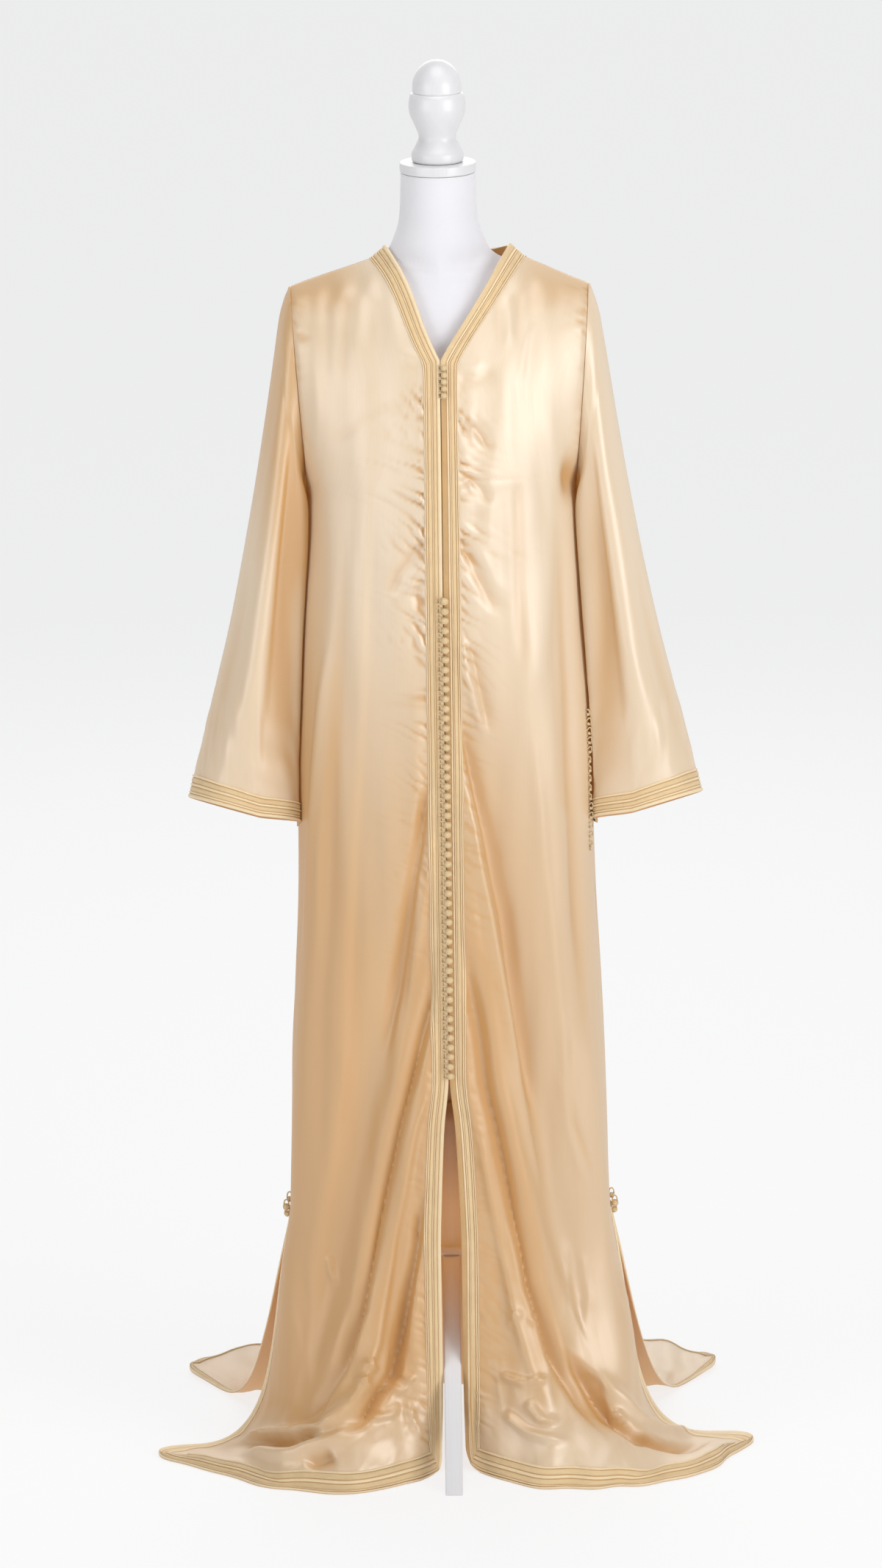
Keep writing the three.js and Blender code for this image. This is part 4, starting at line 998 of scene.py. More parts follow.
# %% Where the creases lie
CREASES_RIGHT = [
    ([(6, 683), (18, 610), (36, 541), (50, 491), (62, 409), (79, 317), (102, 230), (135, 161),
      (179, 111), (232, 82)], 7, 13, -15),
    ([(15, 528), (36, 449), (47, 367), (64, 277), (85, 181), (108, 130), (145, 89),
      (202, 58)], 7, 9, 7),
    ([(19, 379), (30, 287), (46, 207), (60, 138), (102, 97), (156, 51)], 6, 9, -12),
    ([(19, 454), (21, 360), (23, 286), (36, 195), (43, 133)], 7, 7, 4),
    ([(92, 1360), (99, 1180), (105, 999), (120, 819), (137, 592), (155, 408), (176, 279),
      (194, 181)], 9, 15, 5),
    ([(147, 1093), (166, 967), (192, 785), (207, 673)], 8, 8, 3),
    ([(124, 1234), (130, 1053), (144, 873), (159, 690), (176, 505)], 13, 13, -3),
    ([(16, 1176), (36, 1164), (55, 1145), (65, 1115)], 8, 8, -4.5),
    ([(19, 1149), (35, 1135), (41, 1109)], 6, 6, 3),
    ([(21, 1127), (32, 1113), (25, 1084)], 5, 5, -3),
    ([(6, 890), (23, 856), (32, 799), (47, 710), (66, 619), (86, 528)], 5, 9, -8),
    ([(6, 868), (14, 813), (23, 750), (40, 661), (54, 572)], 6, 6, 3.5),
    ([(90, 1525), (116, 1451), (139, 1402)], 8, 8, 1.2),
    ([(73, 1519), (118, 1412)], 8, 8, -1.2),
    ([(57, 1507), (95, 1419)], 8, 8, 1.0),
    ([(44, 1497), (74, 1424)], 8, 8, -1.0),
    ([(22, 1352), (90, 1351), (158, 1346)], 5, 5, -1.6),
    ([(43, 1397), (22, 1380)], 4, 4, -2),
    ([(41, 1408), (19, 1393)], 4, 4, 2),
    ([(118, 117), (163, 85), (210, 82), (323, 76)], 9, 9, 9),
    ([(164, 74), (208, 62), (303, 68)], 8, 8, -8),
    ([(102, 94), (144, 65), (208, 43), (305, 41)], 10, 10, 9),
    ([(154, 39), (196, 28)], 8, 8, -8),
    ([(96, 167), (86, 147)], 4, 4, 4),
    ([(103, 149), (95, 124)], 4.5, 4.5, 4.5),
    ([(78, 135), (54, 118), (39, 119)], 4.5, 4.5, 4.5),
    ([(102, 94), (72, 92), (52, 100)], 5, 5, 5),
    ([(46, 102), (41, 60), (38, 36)], 4.5, 4.5, 5),
    ([(53, 141), (35, 122)], 4.5, 4.5, 4),
    ([(160, 308), (158, 285), (149, 268)], 4.5, 4.5, 4),
]
CREASES_LEFT = [
    ([(19, 1308), (41, 1317), (54, 1302), (61, 1287)], 7, 7, -5),
    ([(20, 1320), (36, 1326), (49, 1313)], 5, 5, 2.5),
    ([(18, 1237), (34, 1250), (48, 1242), (59, 1221)], 7, 7, -4),
    ([(19, 1184), (32, 1153), (47, 1125), (64, 1086)], 8, 12, -5),
    ([(32, 1179), (51, 1147), (72, 1103)], 10, 10, 2),
    ([(20, 1060), (26, 1007), (38, 962), (53, 920)], 7, 7, 5),
    ([(30, 1053), (44, 991), (56, 935)], 6, 9, -4),
    ([(16, 982), (28, 913), (42, 849), (58, 788), (75, 714), (89, 625), (105, 517),
      (112, 418)], 6, 12, -8),
    ([(16, 912), (26, 850), (39, 779), (53, 705), (67, 625), (85, 533), (92, 443),
      (116, 353)], 8, 8, 7),
    ([(20, 685), (26, 620), (36, 548), (43, 483), (52, 411), (65, 328), (84, 247), (118, 171),
      (170, 107), (211, 59)], 7, 12, -15),
    ([(15, 564), (24, 452), (35, 380), (48, 288), (64, 216), (90, 148), (134, 91)], 7, 8, 6),
    ([(54, 532), (70, 422), (103, 315), (144, 233), (181, 181), (216, 139)], 16, 16, 4),
    ([(140, 185), (176, 149), (204, 109), (247, 73), (329, 53), (381, 43)], 11, 7, -12),
    ([(175, 179), (205, 148), (256, 108), (375, 82), (411, 37)], 9, 9, 6),
    ([(134, 1422), (150, 1242), (133, 1088), (110, 988)], 14, 14, 3),
    ([(105, 986), (114, 897), (131, 772), (147, 638), (161, 522), (176, 442),
      (192, 408)], 8, 8, 3.5),
    ([(96, 1281), (93, 1129), (96, 1002)], 9, 9, -3),
    ([(164, 1264), (169, 1100), (176, 925), (184, 742), (188, 557)], 12, 12, -4),
    ([(169, 318), (176, 263), (171, 207)], 5, 5, 2),
    ([(150, 329), (150, 235), (175, 188)], 6, 6, 2),
    ([(175, 163), (191, 150), (194, 136)], 4, 4, -3),
    ([(210, 120), (224, 99)], 4.5, 4.5, 4.5),
    ([(63, 215), (76, 209)], 4, 4, 2.2),
    ([(65, 212), (56, 189)], 4.5, 4.5, 2),
    ([(78, 208), (98, 204)], 4, 4, 1.6),
    ([(162, 600), (162, 531), (165, 476), (176, 442), (191, 404)], 5, 5, -3),
    ([(150, 540), (154, 470), (166, 425), (180, 395)], 5, 5, 1.6),
    ([(90, 107), (111, 87), (135, 85)], 6, 6, 6),
    ([(60, 88), (96, 62), (150, 52)], 7, 7, 6),
    ([(48, 130), (84, 128), (118, 140)], 5, 5, 4),
    ([(17, 1488), (60, 1412)], 6, 6, -1.6),
    ([(26, 1491), (63, 1427)], 5, 5, 1.4),
    ([(34, 1500), (74, 1433)], 6, 6, -1.3),
    ([(66, 1477), (107, 1386)], 7, 7, 1.5),
    ([(19, 1368), (44, 1374), (71, 1389)], 4, 4, -2.5),
    ([(21, 1383), (50, 1392)], 4, 4, 2),
]
print(len(CREASES_RIGHT) + len(CREASES_LEFT), "creases on the fronts")

# %% [markdown]
# ## The two fronts and the back
# The panels are cut apart, so each is a sheet of its own.
# The puckers run beside every braid and round the armholes, where the sleeve is eased in, and a
# low uneven wave keeps the rest of the satin from lying as flat as sheet metal.

# %% The plan of the panels
SATIN_WALL = 0.8
INNER_LOW = CLOTH_TOP - 1.6  # how high the inner face of cloth lies where it rests on the floor
ARM_SEAM = 330.0  # from the shoulder round the front or the back of an armhole to the underarm
SHADE_LIMIT = 0.88
# Each panel: its outer side, its creases, whether its centre edge is the last column, its seed,
# how high its opening's puckers are and how they lean, its corners at the hem (column, radius,
# and how far the cloth is drawn out there first), its size when it was cut, and the middle of the
# hollow at its underarm.
PANEL_PLAN = {
    "front_left": {
        "face": -1, "lines": CREASES_LEFT, "mirror": False, "seed": 11, "pucker": 2.2,
        "lean": 0.05, "corners": [(0, 30, 0), (-1, 48, 26)], "flat": (0.5, 1.61), "area": 0.42,
        "hollow": (154, 1232),
    },
    "front_right": {
        "face": -1, "lines": CREASES_RIGHT, "mirror": True, "seed": 31, "pucker": 2.6,
        "lean": -0.05, "corners": [(-1, 16, 0), (0, 50, 28)], "flat": (0.5, 1.61), "area": 0.42,
    },
    "back": {
        "face": 1, "lines": [], "mirror": False, "seed": 51,
        "corners": [(0, 48, 22), (-1, 48, 22)], "flat": (0.76, 1.79), "area": 0.9,
    },
}
# Waves in the satin: how far each is drawn out across and down, its size and its own seed.
SATIN_WAVES = {
    "broad": (1.6, 0.2, 55, 5), "fine": (1.0, 0.7, 24, 6), "low": (1.0, 0.6, 95, 7),
    "settled": (1.0, 1.0, 70, 8), "ripple": (1.0, 0.0, 80, 9), "pressed": (1.0, 1.0, 120, 60),
    "hung": (1.0, 0.3, 150, 70), "drops": (1.0, 0.05, 26, 71), "back": (2.2, 0.22, 90, 0),
}
HEM = {"reach": 70, "ripple": 8, "roll": 12, "settle": 2.0}
# Both sides of a crease deeper than this are painted in shade.
DEEP_CREASE = -8  # a crease that goes deeper than this throws a shade on both its sides


def wave(kind, p, q, seed):
    """One of the satin's waves over a panel, from -1 to 1."""
    across, down, size, own = SATIN_WAVES[kind]
    return waves(p * across, q * down, size, seed + own)


def measured(grid, plan):
    """Where each point of a panel lies, and how far it is from every edge, in millimetres."""
    left, right, down = run_across(grid), run_across(grid[:, ::-1])[:, ::-1], run_down(grid)
    near = np.minimum(left, right)
    centre, sides = (right, left) if plan["mirror"] else (left, right)
    if plan["face"] == 1:  # the back has a side seam at both edges
        sides = near
    arm_rows = (BACK_FINE if plan["face"] == 1 else FRONT_FINE)["rows"][0]
    run = ARM_SEAM / arm_rows * np.arange(len(grid))[:, None]
    return {
        "x": grid[..., 0], "z": grid[..., 2], "left": left, "near": near, "centre": centre,
        "sides": sides, "down": down, "hem": down[-1:] - down,
        "on_arm": (np.arange(len(grid))[:, None] <= arm_rows) + 0 * left,
        "arm_run": np.broadcast_to(run, left.shape),
    }


print("panels:", list(PANEL_PLAN), "with", len(SATIN_WAVES), "kinds of waves")


# %% The steps that dress a panel
def creased(at, plan):
    """The creases that are listed. They end before an edge and are strongest low down."""
    height = creases(at["centre"], at["hem"], plan["lines"])
    height *= mix(1.05, 1.4, fade(at["hem"], 260, 140))
    return height * mix(0.15, 1.0, fade(at["near"], 9, 23))


def first_shade(at, plan, height):
    """How far each point of a panel is painted into shade, before the small waves count: in its
    folds, low down, beside the opening, at the shoulders and on the wearer's right, away from the
    key light, where less light falls or light has come off other satin first.
    """
    x, z = at["x"], at["z"]
    deep = [(p, 2 * a, 2 * b, out) for p, a, b, out in plan["lines"] if out < DEEP_CREASE]
    shade = np.clip(-height / 13, 0, 1)
    shade += 0.7 * np.clip(-creases(at["centre"], at["hem"], deep) / 16, 0, 1)
    shade += 0.42 * fade(z, 1120, 620)
    if plan["face"] == -1:
        shade += 0.44 * fade(z, 1180, 780) * np.exp(-((at["centre"] / 130) ** 2))
        shade += 0.5 * fade(z, 1425, 1455) * fade(np.abs(x), 80, 130)
    shade += fade(x, -50, -180) * mix(0.2, 0.55, fade(z, 1200, 900))
    return shade * mix(0.4, 1.0, fade(at["hem"], 20, 170))


def pucker_opening(height, shade, at, plan):
    """The short slanted waves that the braid of the opening draws into a front."""
    strong = fade(at["z"], 1380, 1320) * mix(0.4, 1.3, fade(at["z"], 950, 1200))
    off, seed, lean = at["centre"] - BRAID, plan["seed"], plan["lean"]
    small = plan["pucker"] * strong * puckers(off, at["z"], seed, 15.0, 1.3, 12.0, lean)
    small += 0.7 * strong * puckers(off, at["z"], seed + 90, 33.0, 1.6, 20.0, lean * 0.5)
    height += small
    # Painted shade in the hollows of the puckers.
    shade += 1.1 * np.clip(-small / 1.7, 0, 1)


def gather_armhole(height, shade, at, plan):
    """The gathers where a sleeve is eased in, most of them at the height of the sleeve's head."""
    run = at["arm_run"]
    eased_in = 0.8 + 2.6 * np.exp(-(((run - 68) / 34) ** 2))
    gathers = puckers(at["sides"] + 0.5, run, plan["seed"] + 20, 10.5, 1.1, 9.0)
    gathers = at["on_arm"] * eased_in * gathers
    height += gathers * smooth(run / 20)
    # Painted shade in the hollows of the gathers.
    shade += 0.9 * np.clip(-gathers / 1.5, 0, 1)


def press_hollow(height, shade, at, middle):
    """The hollow between the body and a sleeve at the underarm."""
    x, z = middle
    hollow = np.exp(-(((at["x"] - x) / 9) ** 2) - ((at["z"] - z) / 24) ** 2)
    height -= 8 * hollow
    # The hollow is painted in shade.
    shade += hollow


def seam_and_hem(height, at, seed):
    """The ridge beside the armhole's seam, and the puckers at the slits and at the hem."""
    sides, left = at["sides"], at["left"]
    ridge = 1.6 * at["on_arm"] * smooth(sides / 7) * fade(sides, 46, 8)
    height += ridge * smooth(at["arm_run"] / 30)
    below_slit = fade(at["z"], FLARE["top"], FLARE["top"] - 12)
    height += below_slit * puckers(sides - BRAID, at["z"], seed + 30, 14.0, 0.9, 10.0)
    hem_run = left + 40 * waves(left, 0 * left, 300, seed + 41)
    height += puckers(at["hem"] - BRAID, hem_run, seed + 40, 17.0, 0.9, 12.0)


def handled(height, shade, at, seed, calm):
    """What wear and folding leave in satin: low waves all over, small ridges near the hem, and
    the long soft drops of cloth that hangs."""
    x, z, left, hem = at["x"], at["z"], at["left"], at["hem"]
    lows = fade(hem, 250, 90)
    height += 1.2 * wave("broad", x, z, seed) * calm
    height += 0.5 * wave("fine", x, z, seed) * calm * mix(0.15, 1.0, lows)
    height += 1.5 * lows * wave("low", left, hem, seed) * calm
    used = fade(hem, 30, 80) * fade(hem, 480, 220) * smooth(wave("pressed", left, hem, seed) + 0.7)
    crushed = 1.1 * used * crumple(left + 0.25 * hem, hem * 0.3, 60, seed + 61) * calm
    height += crushed
    # Painted shade in the valleys between the small ridges.
    shade += 0.35 * np.clip(-crushed, 0, 1)
    hung = mix(0.25, 1.0, fade(z, 1150, 850)) * smooth(wave("hung", left, hem, seed) + 0.6)
    height += 0.7 * hung * wave("drops", left, hem, seed) * calm


def lay_down(out, grid, at, seed, calm):
    """The lowest part of a panel: its hem ripples, rolls over the floor and settles on it."""
    z, left, hem = at["z"], at["left"], at["hem"]
    along = np.gradient(grid, axis=0) * [1, 1, 0]
    along /= np.maximum(np.linalg.norm(along, axis=-1, keepdims=True), 1e-9)
    near_hem = np.exp(-((hem / HEM["reach"]) ** 2))
    ripple = HEM["ripple"] * wave("ripple", left, hem, seed) * near_hem
    out += along * (ripple * smooth(at["near"] / 60 - 0.3))[..., None]
    rolled = HEM["roll"] * (smooth(hem / 21) * (1 - fade(hem, 34, 144)))
    out[..., 2] += rolled * fade(z, 90, 40) * mix(0.25, 1.0, smooth(at["sides"] / 110))
    settle = fade(z, 60, 0) * fade(hem, -4, 26) * HEM["settle"]
    out[..., 2] += settle * np.clip(wave("settled", left, hem, seed), 0, 1) * calm
    out[..., 2] = np.maximum(out[..., 2], CLOTH_TOP)


print("a panel is creased, shaded, puckered, handled and laid down, in that order")


# %% The two fronts and the back
def dressed(grid, plan):
    """The grid with its creases, puckers and waves, moved along its normals, and its shade."""
    at, seed = measured(grid, plan), plan["seed"]
    height = creased(at, plan)
    shade = first_shade(at, plan, height)
    if plan["face"] == 1:
        height += 2.2 * wave("back", at["x"], at["z"], seed) * fade(at["z"], 1420, 1220)
    else:
        pucker_opening(height, shade, at, plan)
    gather_armhole(height, shade, at, plan)
    if "hollow" in plan:
        press_hollow(height, shade, at, plan["hollow"])
    seam_and_hem(height, at, seed)
    calm = fade(at["near"], 6, 36) * smooth(at["hem"] / 40)
    handled(height, shade, at, seed, calm)
    height = height * smooth(at["near"] / 5) * smooth(at["down"] / 30)
    out = grid + normals_of(grid, plan["face"]) * height[..., None]
    lay_down(out, grid, at, seed, calm)
    return out, np.clip(shade, 0, SHADE_LIMIT)


def rounded(grid, corners):
    """The grid with its hem corners turned round. Each corner is its column, its radius and how
    far the cloth is drawn out there first."""
    for column, radius, drawn in corners:
        ordered = grid[::-1] if column == 0 else grid[::-1, ::-1]
        a, b = run_across(ordered), run_down(ordered)
        inside = np.unravel_index(np.argmin((a - 120) ** 2 + (b - 120) ** 2), a.shape)
        away = (ordered[0, 0] - ordered[inside]) * [1, 1, 0]
        away /= np.linalg.norm(away)
        ordered = ordered + away * drawn * np.exp(-(a * a + b * b) / 100**2)[..., None]
        p, q = np.clip(1 - a / radius, 0, 1), np.clip(1 - b / radius, 0, 1)
        new_a = radius * (1 - p * np.sqrt(1 - q * q / 2))
        new_b = radius * (1 - q * np.sqrt(1 - p * p / 2))
        i, j = (k.astype(float) for k in np.indices(a.shape))
        for r, c in np.argwhere((a < radius) & (b < radius)):
            i[r, c] = np.interp(new_b[r, c], b[:, c], np.arange(len(b)))
            j[r, c] = np.interp(new_a[r, c], a[r], np.arange(len(a[r])))
        turned = sampled(ordered, i, j)
        grid = turned[::-1] if column == 0 else turned[::-1, ::-1]
    return grid


PANELS = {}
for name, plan in PANEL_PLAN.items():
    outer, shade = dressed(GRIDS[name], plan)
    outer = rounded(outer, plan["corners"])
    inner = outer - normals_of(outer, plan["face"]) * SATIN_WALL
    inner[..., 2] = np.maximum(inner[..., 2], INNER_LOW)
    PANELS[name] = outer
    sheet = wall("satin_" + name, outer, inner, shade, satin, [name])
    print(sheet.name, len(sheet.data.polygons), "faces")

# %% [markdown]
# ## Sleeves
# A sleeve is a tube that widens from the armhole to the cuff and hangs against the side of the
# dress, pressed nearly flat. Its head is eased into the armhole, and its cuff hangs lower at the
# back than in front, so that a dark strip of its inside shows below the front edge.

# %% Sleeves
SLEEVE = columns(
    [
        (0, 181.3, 1459, 163.3, 1213, 58), (0.04, 192, 1433, 166, 1197, 61),
        (0.11, 199, 1390, 168.5, 1172, 63), (0.24, 212, 1305, 173, 1122, 65),
        (0.43, 236, 1165, 179.5, 1040, 65), (0.65, 264, 1028, 185, 946, 63),
        (0.85, 295, 905, 187, 852, 60), (1, 314, 824, 187, 786, 57),
    ],
    "share", ["share", "top_x", "top_z", "under_x", "under_z", "deep"],
)
# Folds: degrees round the sleeve at its start and end, half-width, height, and where they run.
SLEEVE_FOLDS = [
    (100, 128, 16, -9, 0.06, 0.96), (68, 84, 20, 5, 0.1, 0.9), (262, 240, 20, -7, 0.1, 0.92),
    (48, 30, 12, -2.2, 0.45, 0.98), (120, 150, 9, 2.5, 0.3, 0.99), (86, 60, 9, 2.0, 0.55, 1.0),
]
CUFF_DROP = 15.0
CUFF_SHARE = 0.945  # the share of a sleeve above its braid
CHAIN_ROOM = 44.0
TO_BODY, TO_CHAIN = 0.9, 4.5  # the gaps between a sleeve and the body, and at the chain of knots
AROUND, LENGTHWISE, CUFF_ROWS = 108, 138, 8
SLEEVE_EASING = 20
RUN_ROUND = 100  # the waves' millimetres for each radian round a sleeve
# How much painted shade a sleeve gets: all over, in its upper half, underneath.
SLEEVE_SHADE = {"left": (0.04, 0.0, 0.2), "right": (0.14, 0.6, 0.5)}


def against_body(name, y, z):
    """How far out a sleeve lies against the body's side. The left one leaves room for the chain
    of knots at the hip."""
    seam = GRIDS["front_left"][::-1, -1]
    near_chain = fade(z, 968, 948) * smooth((y + CHAIN_ROOM) / 10) * (name == "left")
    before, behind = 10.8 * np.abs(y / 60) ** 2.6, 19 * (y / 60) ** 2
    falls = np.where(y < 0, np.minimum(before, 3), np.minimum(behind, 6))
    return np.interp(z, seam[:, 2], seam[:, 0]) + mix(TO_BODY, TO_CHAIN, near_chain) - falls


def sleeve_rings(name, side):
    """For each point of a sleeve its share of the length, its turn round it in degrees, from the
    outer line over the front, and where it lies before the sleeve is folded."""
    runs = np.concatenate([
        np.linspace(0, CUFF_SHARE, LENGTHWISE) ** 1.15 * CUFF_SHARE ** -0.15,
        np.linspace(CUFF_SHARE, 1, CUFF_ROWS + 1)[1:],
    ])
    share, turn = np.meshgrid(runs, np.arange(AROUND) * 360 / AROUND, indexing="ij")
    cos, sin = np.cos(np.radians(turn)), np.sin(np.radians(turn))
    half = (cos + 1) / 2
    x = mix(SLEEVE["under_x"](share), SLEEVE["top_x"](share), half)
    z = mix(SLEEVE["under_z"](share), SLEEVE["top_z"](share), half)
    z = z + CUFF_DROP * smooth((share - 0.4) / 0.6) * sin
    y = -SLEEVE["deep"](share) * sin
    lies = smooth((0.34 - half) / 0.22) * smooth((share - 0.02) / 0.1)
    rings = np.stack([side * mix(x, against_body(name, y, z), lies), y, z], -1)
    held = np.where((share > 0.93) | (share < 0.004), 1.0, 0.0)
    return share, turn, eased(rings, SLEEVE_EASING, held)


def sleeve_folds(share, turn, down, seed):
    """How far a sleeve's folds, the puckers at its seam and its cuff, and its waves stand out."""
    height = np.zeros_like(share)
    for start, finish, width, out, first, last in SLEEVE_FOLDS:
        t = np.clip((share - first) / (last - first), 0, 1)
        across = (turn - mix(start, finish, t)) / width
        height += out * np.sin(math.pi * t) ** 0.7 * np.exp(-across * across)
    around, from_cuff = np.radians(turn) * RUN_ROUND, down[-1:] - down
    height += puckers(down + 0.5, around, seed, 9.5, 1.2, 9.0)
    height += puckers(from_cuff - BRAID, around, seed + 5, 15.0, 1.2, 13.0)
    broad = 0.5 * waves(around, down * 0.3, 60, seed + 9)
    height += broad * smooth(down / 40) * smooth(from_cuff / 40)
    small = 0.9 * waves(around, down * 0.8, 34, seed + 10)
    height += small * fade(from_cuff, 20, 50) * fade(from_cuff, 200, 80)
    return height


def sleeve_shade(name, share, turn, height):
    """How far each point of a sleeve is painted into shade: more on the wearer's right, in its
    folds, upper half and underside, and in full in the crevice against the body.
    """
    overall, upper, under = SLEEVE_SHADE[name]
    shade = overall + 0.8 * np.clip(-height / 9, 0, 1)
    shade += upper * smooth((0.5 - share) / 0.3)
    shade = np.clip(shade + fade(turn, 105, 155) * fade(turn, 260, 220) * under, 0, SHADE_LIMIT)
    # The crevice where the sleeve lies against the body is painted in full shade.
    return np.maximum(shade, fade(turn, 134, 146) * fade(turn, 230, 210))


SLEEVES = {}
for name, side, seed in (("left", 1, 71), ("right", -1, 83)):
    share, turn, rings = sleeve_rings(name, side)
    down = run_down(rings)
    height = sleeve_folds(share, turn, down, seed)
    wrapped = np.concatenate([rings[:, -1:], rings, rings[:, :1]], 1)
    n = normals_of(wrapped, side)[:, 1:-1]
    outer = rings + n * (height * smooth(down / 3))[..., None]
    SLEEVES[name] = outer
    sheet = wall(
        "satin_sleeve_" + name, outer, outer - n * SATIN_WALL,
        sleeve_shade(name, share, turn, height), satin, ["sleeve_" + name], wrap=True,
    )
    print(sheet.name, len(sheet.data.polygons), "faces,", outer[..., 2].min().round(1), "mm up")

# %% [markdown]
# ## Sfifa braid
# The braid is about 20 mm wide and is made of several cords laid side by side: round cords along
# its edges, flat plaited bands between them, and on the opening a thicker piping. Its section is
# a row of bumps, swept along the edge of the panel; corners are mitred, as they are when it is
# sewn. The cords are geometry and catch the light as lines; their turns are in the material.

# %% The section of a braid
# Each bump: its middle and half-width across the braid, its height, and its kind: 0 is a plaited
# band, 1 a cord and 3 a band that is painted dark low down, as shade in the gaps between the knots.
OPENING_BRAID = [
    (0.8, 0.75, 1.3, 1), (3.0, 0.8, 1.3, 1), (6.7, 2.2, 1.0, 0), (10.1, 0.7, 1.4, 1),
    (13.4, 2.1, 1.0, 0), (18.3, 2.3, 2.1, 1),
]
# On the wearer's left front a cord and a plaited band take the piping's place; the band is
# painted dark below the neckline's point, as shade in the gaps between the knots.
LEFT_OPENING_BRAID = OPENING_BRAID[:4] + [(12.6, 1.3, 1.3, 1), (17.4, 3.2, 1.2, 3)]
PLAIN_BRAID = [
    (1.1, 1.0, 1.5, 1), (4.9, 2.0, 0.9, 0), (8.6, 1.1, 1.5, 1), (12.2, 1.8, 0.9, 0),
    (15.3, 0.8, 1.4, 1), (18.3, 1.5, 1.7, 1),
]
# The slits have a narrow braid of two cords and a band.
SLIT_BRAID = [(10.4, 0.9, 1.3, 1), (13.2, 1.5, 0.8, 0), (15.8, 0.8, 1.2, 1), (18.4, 1.5, 1.6, 1)]
ACROSS = 57  # points across the top of a braid; its under side has one for every eight
TOP_LIFT, UNDER_LIFT = 0.25, 0.15  # how far a braid's two sides stand off the satin
FLOOR_LIFT = 0.3  # the lowest that a braid lies over the floor
SHADED_BAND_FROM = 42  # how far below the neckline's point the left band is painted dark, as shade


def braid_places(bumps):
    """Places across a braid, from the edge of its first cord to the edge of its last."""
    return np.linspace(bumps[0][0] - bumps[0][1], bumps[-1][0] + bumps[-1][1], ACROSS)


def braid_section(bumps):
    """Places across a braid, heights there, and the kind of bump that lies between them, where 2
    is the dark ground in a groove."""
    w = braid_places(bumps)
    height = np.zeros(ACROSS)
    kind = np.full(ACROSS - 1, 2)
    middle = (w[1:] + w[:-1]) / 2
    for at, half, tall, sort in bumps:
        inside = np.clip(1 - ((w - at) / half) ** 2, 0, 1)
        height = np.maximum(height, tall * np.sqrt(inside) if sort == 1 else tall * inside**0.25)
        kind[np.abs(middle - at) < half] = sort
    return w, height, kind


def braid_on(name, grid, face, i, j, bumps, stands_for, hoop=False):
    """A braid laid on a grid; i and j say which row and column each of its points lies on."""
    n = sampled(normals_of(grid, face), i, j)
    n /= np.maximum(np.linalg.norm(n, axis=-1, keepdims=True), 1e-9)
    base = sampled(grid, i, j)
    w, height, kind = braid_section(bumps)
    if hoop:
        base[:, -1], n[:, -1] = base[:, 0], n[:, 0]
    top = base + n * (TOP_LIFT + height)[:, None, None]
    under = base[::8] + n[::8] * UNDER_LIFT
    rings = np.concatenate([top, under[::-1]]).transpose(1, 0, 2)
    if hoop:
        rings = rings[:-1]
    rings[..., 2] = np.maximum(rings[..., 2], FLOOR_LIFT)
    points, faces, uv = loft(rings, hoop)
    made = piece_of(name, points, faces, uv, braid, stands_for, crisp=40)
    made.data.materials.append(piping)
    made.data.materials.append(ground)
    column = np.arange((len(rings) - (0 if hoop else 1)) * rings.shape[1]) % rings.shape[1]
    what = np.concatenate([kind, [2] * (rings.shape[1] - ACROSS + 1)])[column]
    # Below the neckline's point the band takes the dark ground finish: painted shade between the
    # knots.
    low_down = rings[:, 0, 2] < NECK["v_point"] - SHADED_BAND_FROM
    shaded_band = np.repeat(low_down, rings.shape[1])[:len(what)]
    what = np.where(what == 3, 2 * shaded_band, what)
    index = np.zeros(len(made.data.polygons), np.int32)
    index[:len(what)] = what
    made.data.polygons.foreach_set("material_index", index)
    return made


print("a braid's section has", ACROSS, "points")

# %% Braid on every edge
MITRE_STEPS = 12


def edge_plan(grid, fine, bumps, first, first_row):
    """Rows and columns for a braid down the first or last column, mitred at the hem."""
    hem_rows, across_cols = fine["rows"][3], fine["cols"][3 if bumps is SLIT_BRAID else 0]
    rows = grid.shape[0]
    off = BRAID - braid_places(bumps)[:, None]  # distance from the panel's own edge
    straight = np.arange(first_row, rows - hem_rows)[None, :] + 0 * off
    left = BRAID - (BRAID - off) * np.linspace(0, 1, MITRE_STEPS)[None, 1:]
    i = np.concatenate([straight, rows - 1 - left / BRAID * hem_rows], 1)
    j = off / BRAID * across_cols + 0 * i
    return i, (j if first else grid.shape[1] - 1 - j)


def hem_plan(grid, fine, first_cols, last_cols):
    """Rows and columns for a braid along the hem, mitred at both ends."""
    hem_rows = fine["rows"][3]
    off = BRAID - braid_places(PLAIN_BRAID)[:, None]
    steps = np.linspace(0, 1, MITRE_STEPS)[None, :]
    start = (off + (BRAID - off) * steps) / BRAID * first_cols
    finish = grid.shape[1] - 1 - (off + (BRAID - off) * steps[:, ::-1]) / BRAID * last_cols
    straight = np.arange(first_cols + 1, grid.shape[1] - 1 - last_cols)[None, :] + 0 * off
    j = np.concatenate([start, straight, finish], 1)
    return grid.shape[0] - 1 - off / BRAID * hem_rows + 0 * j, j


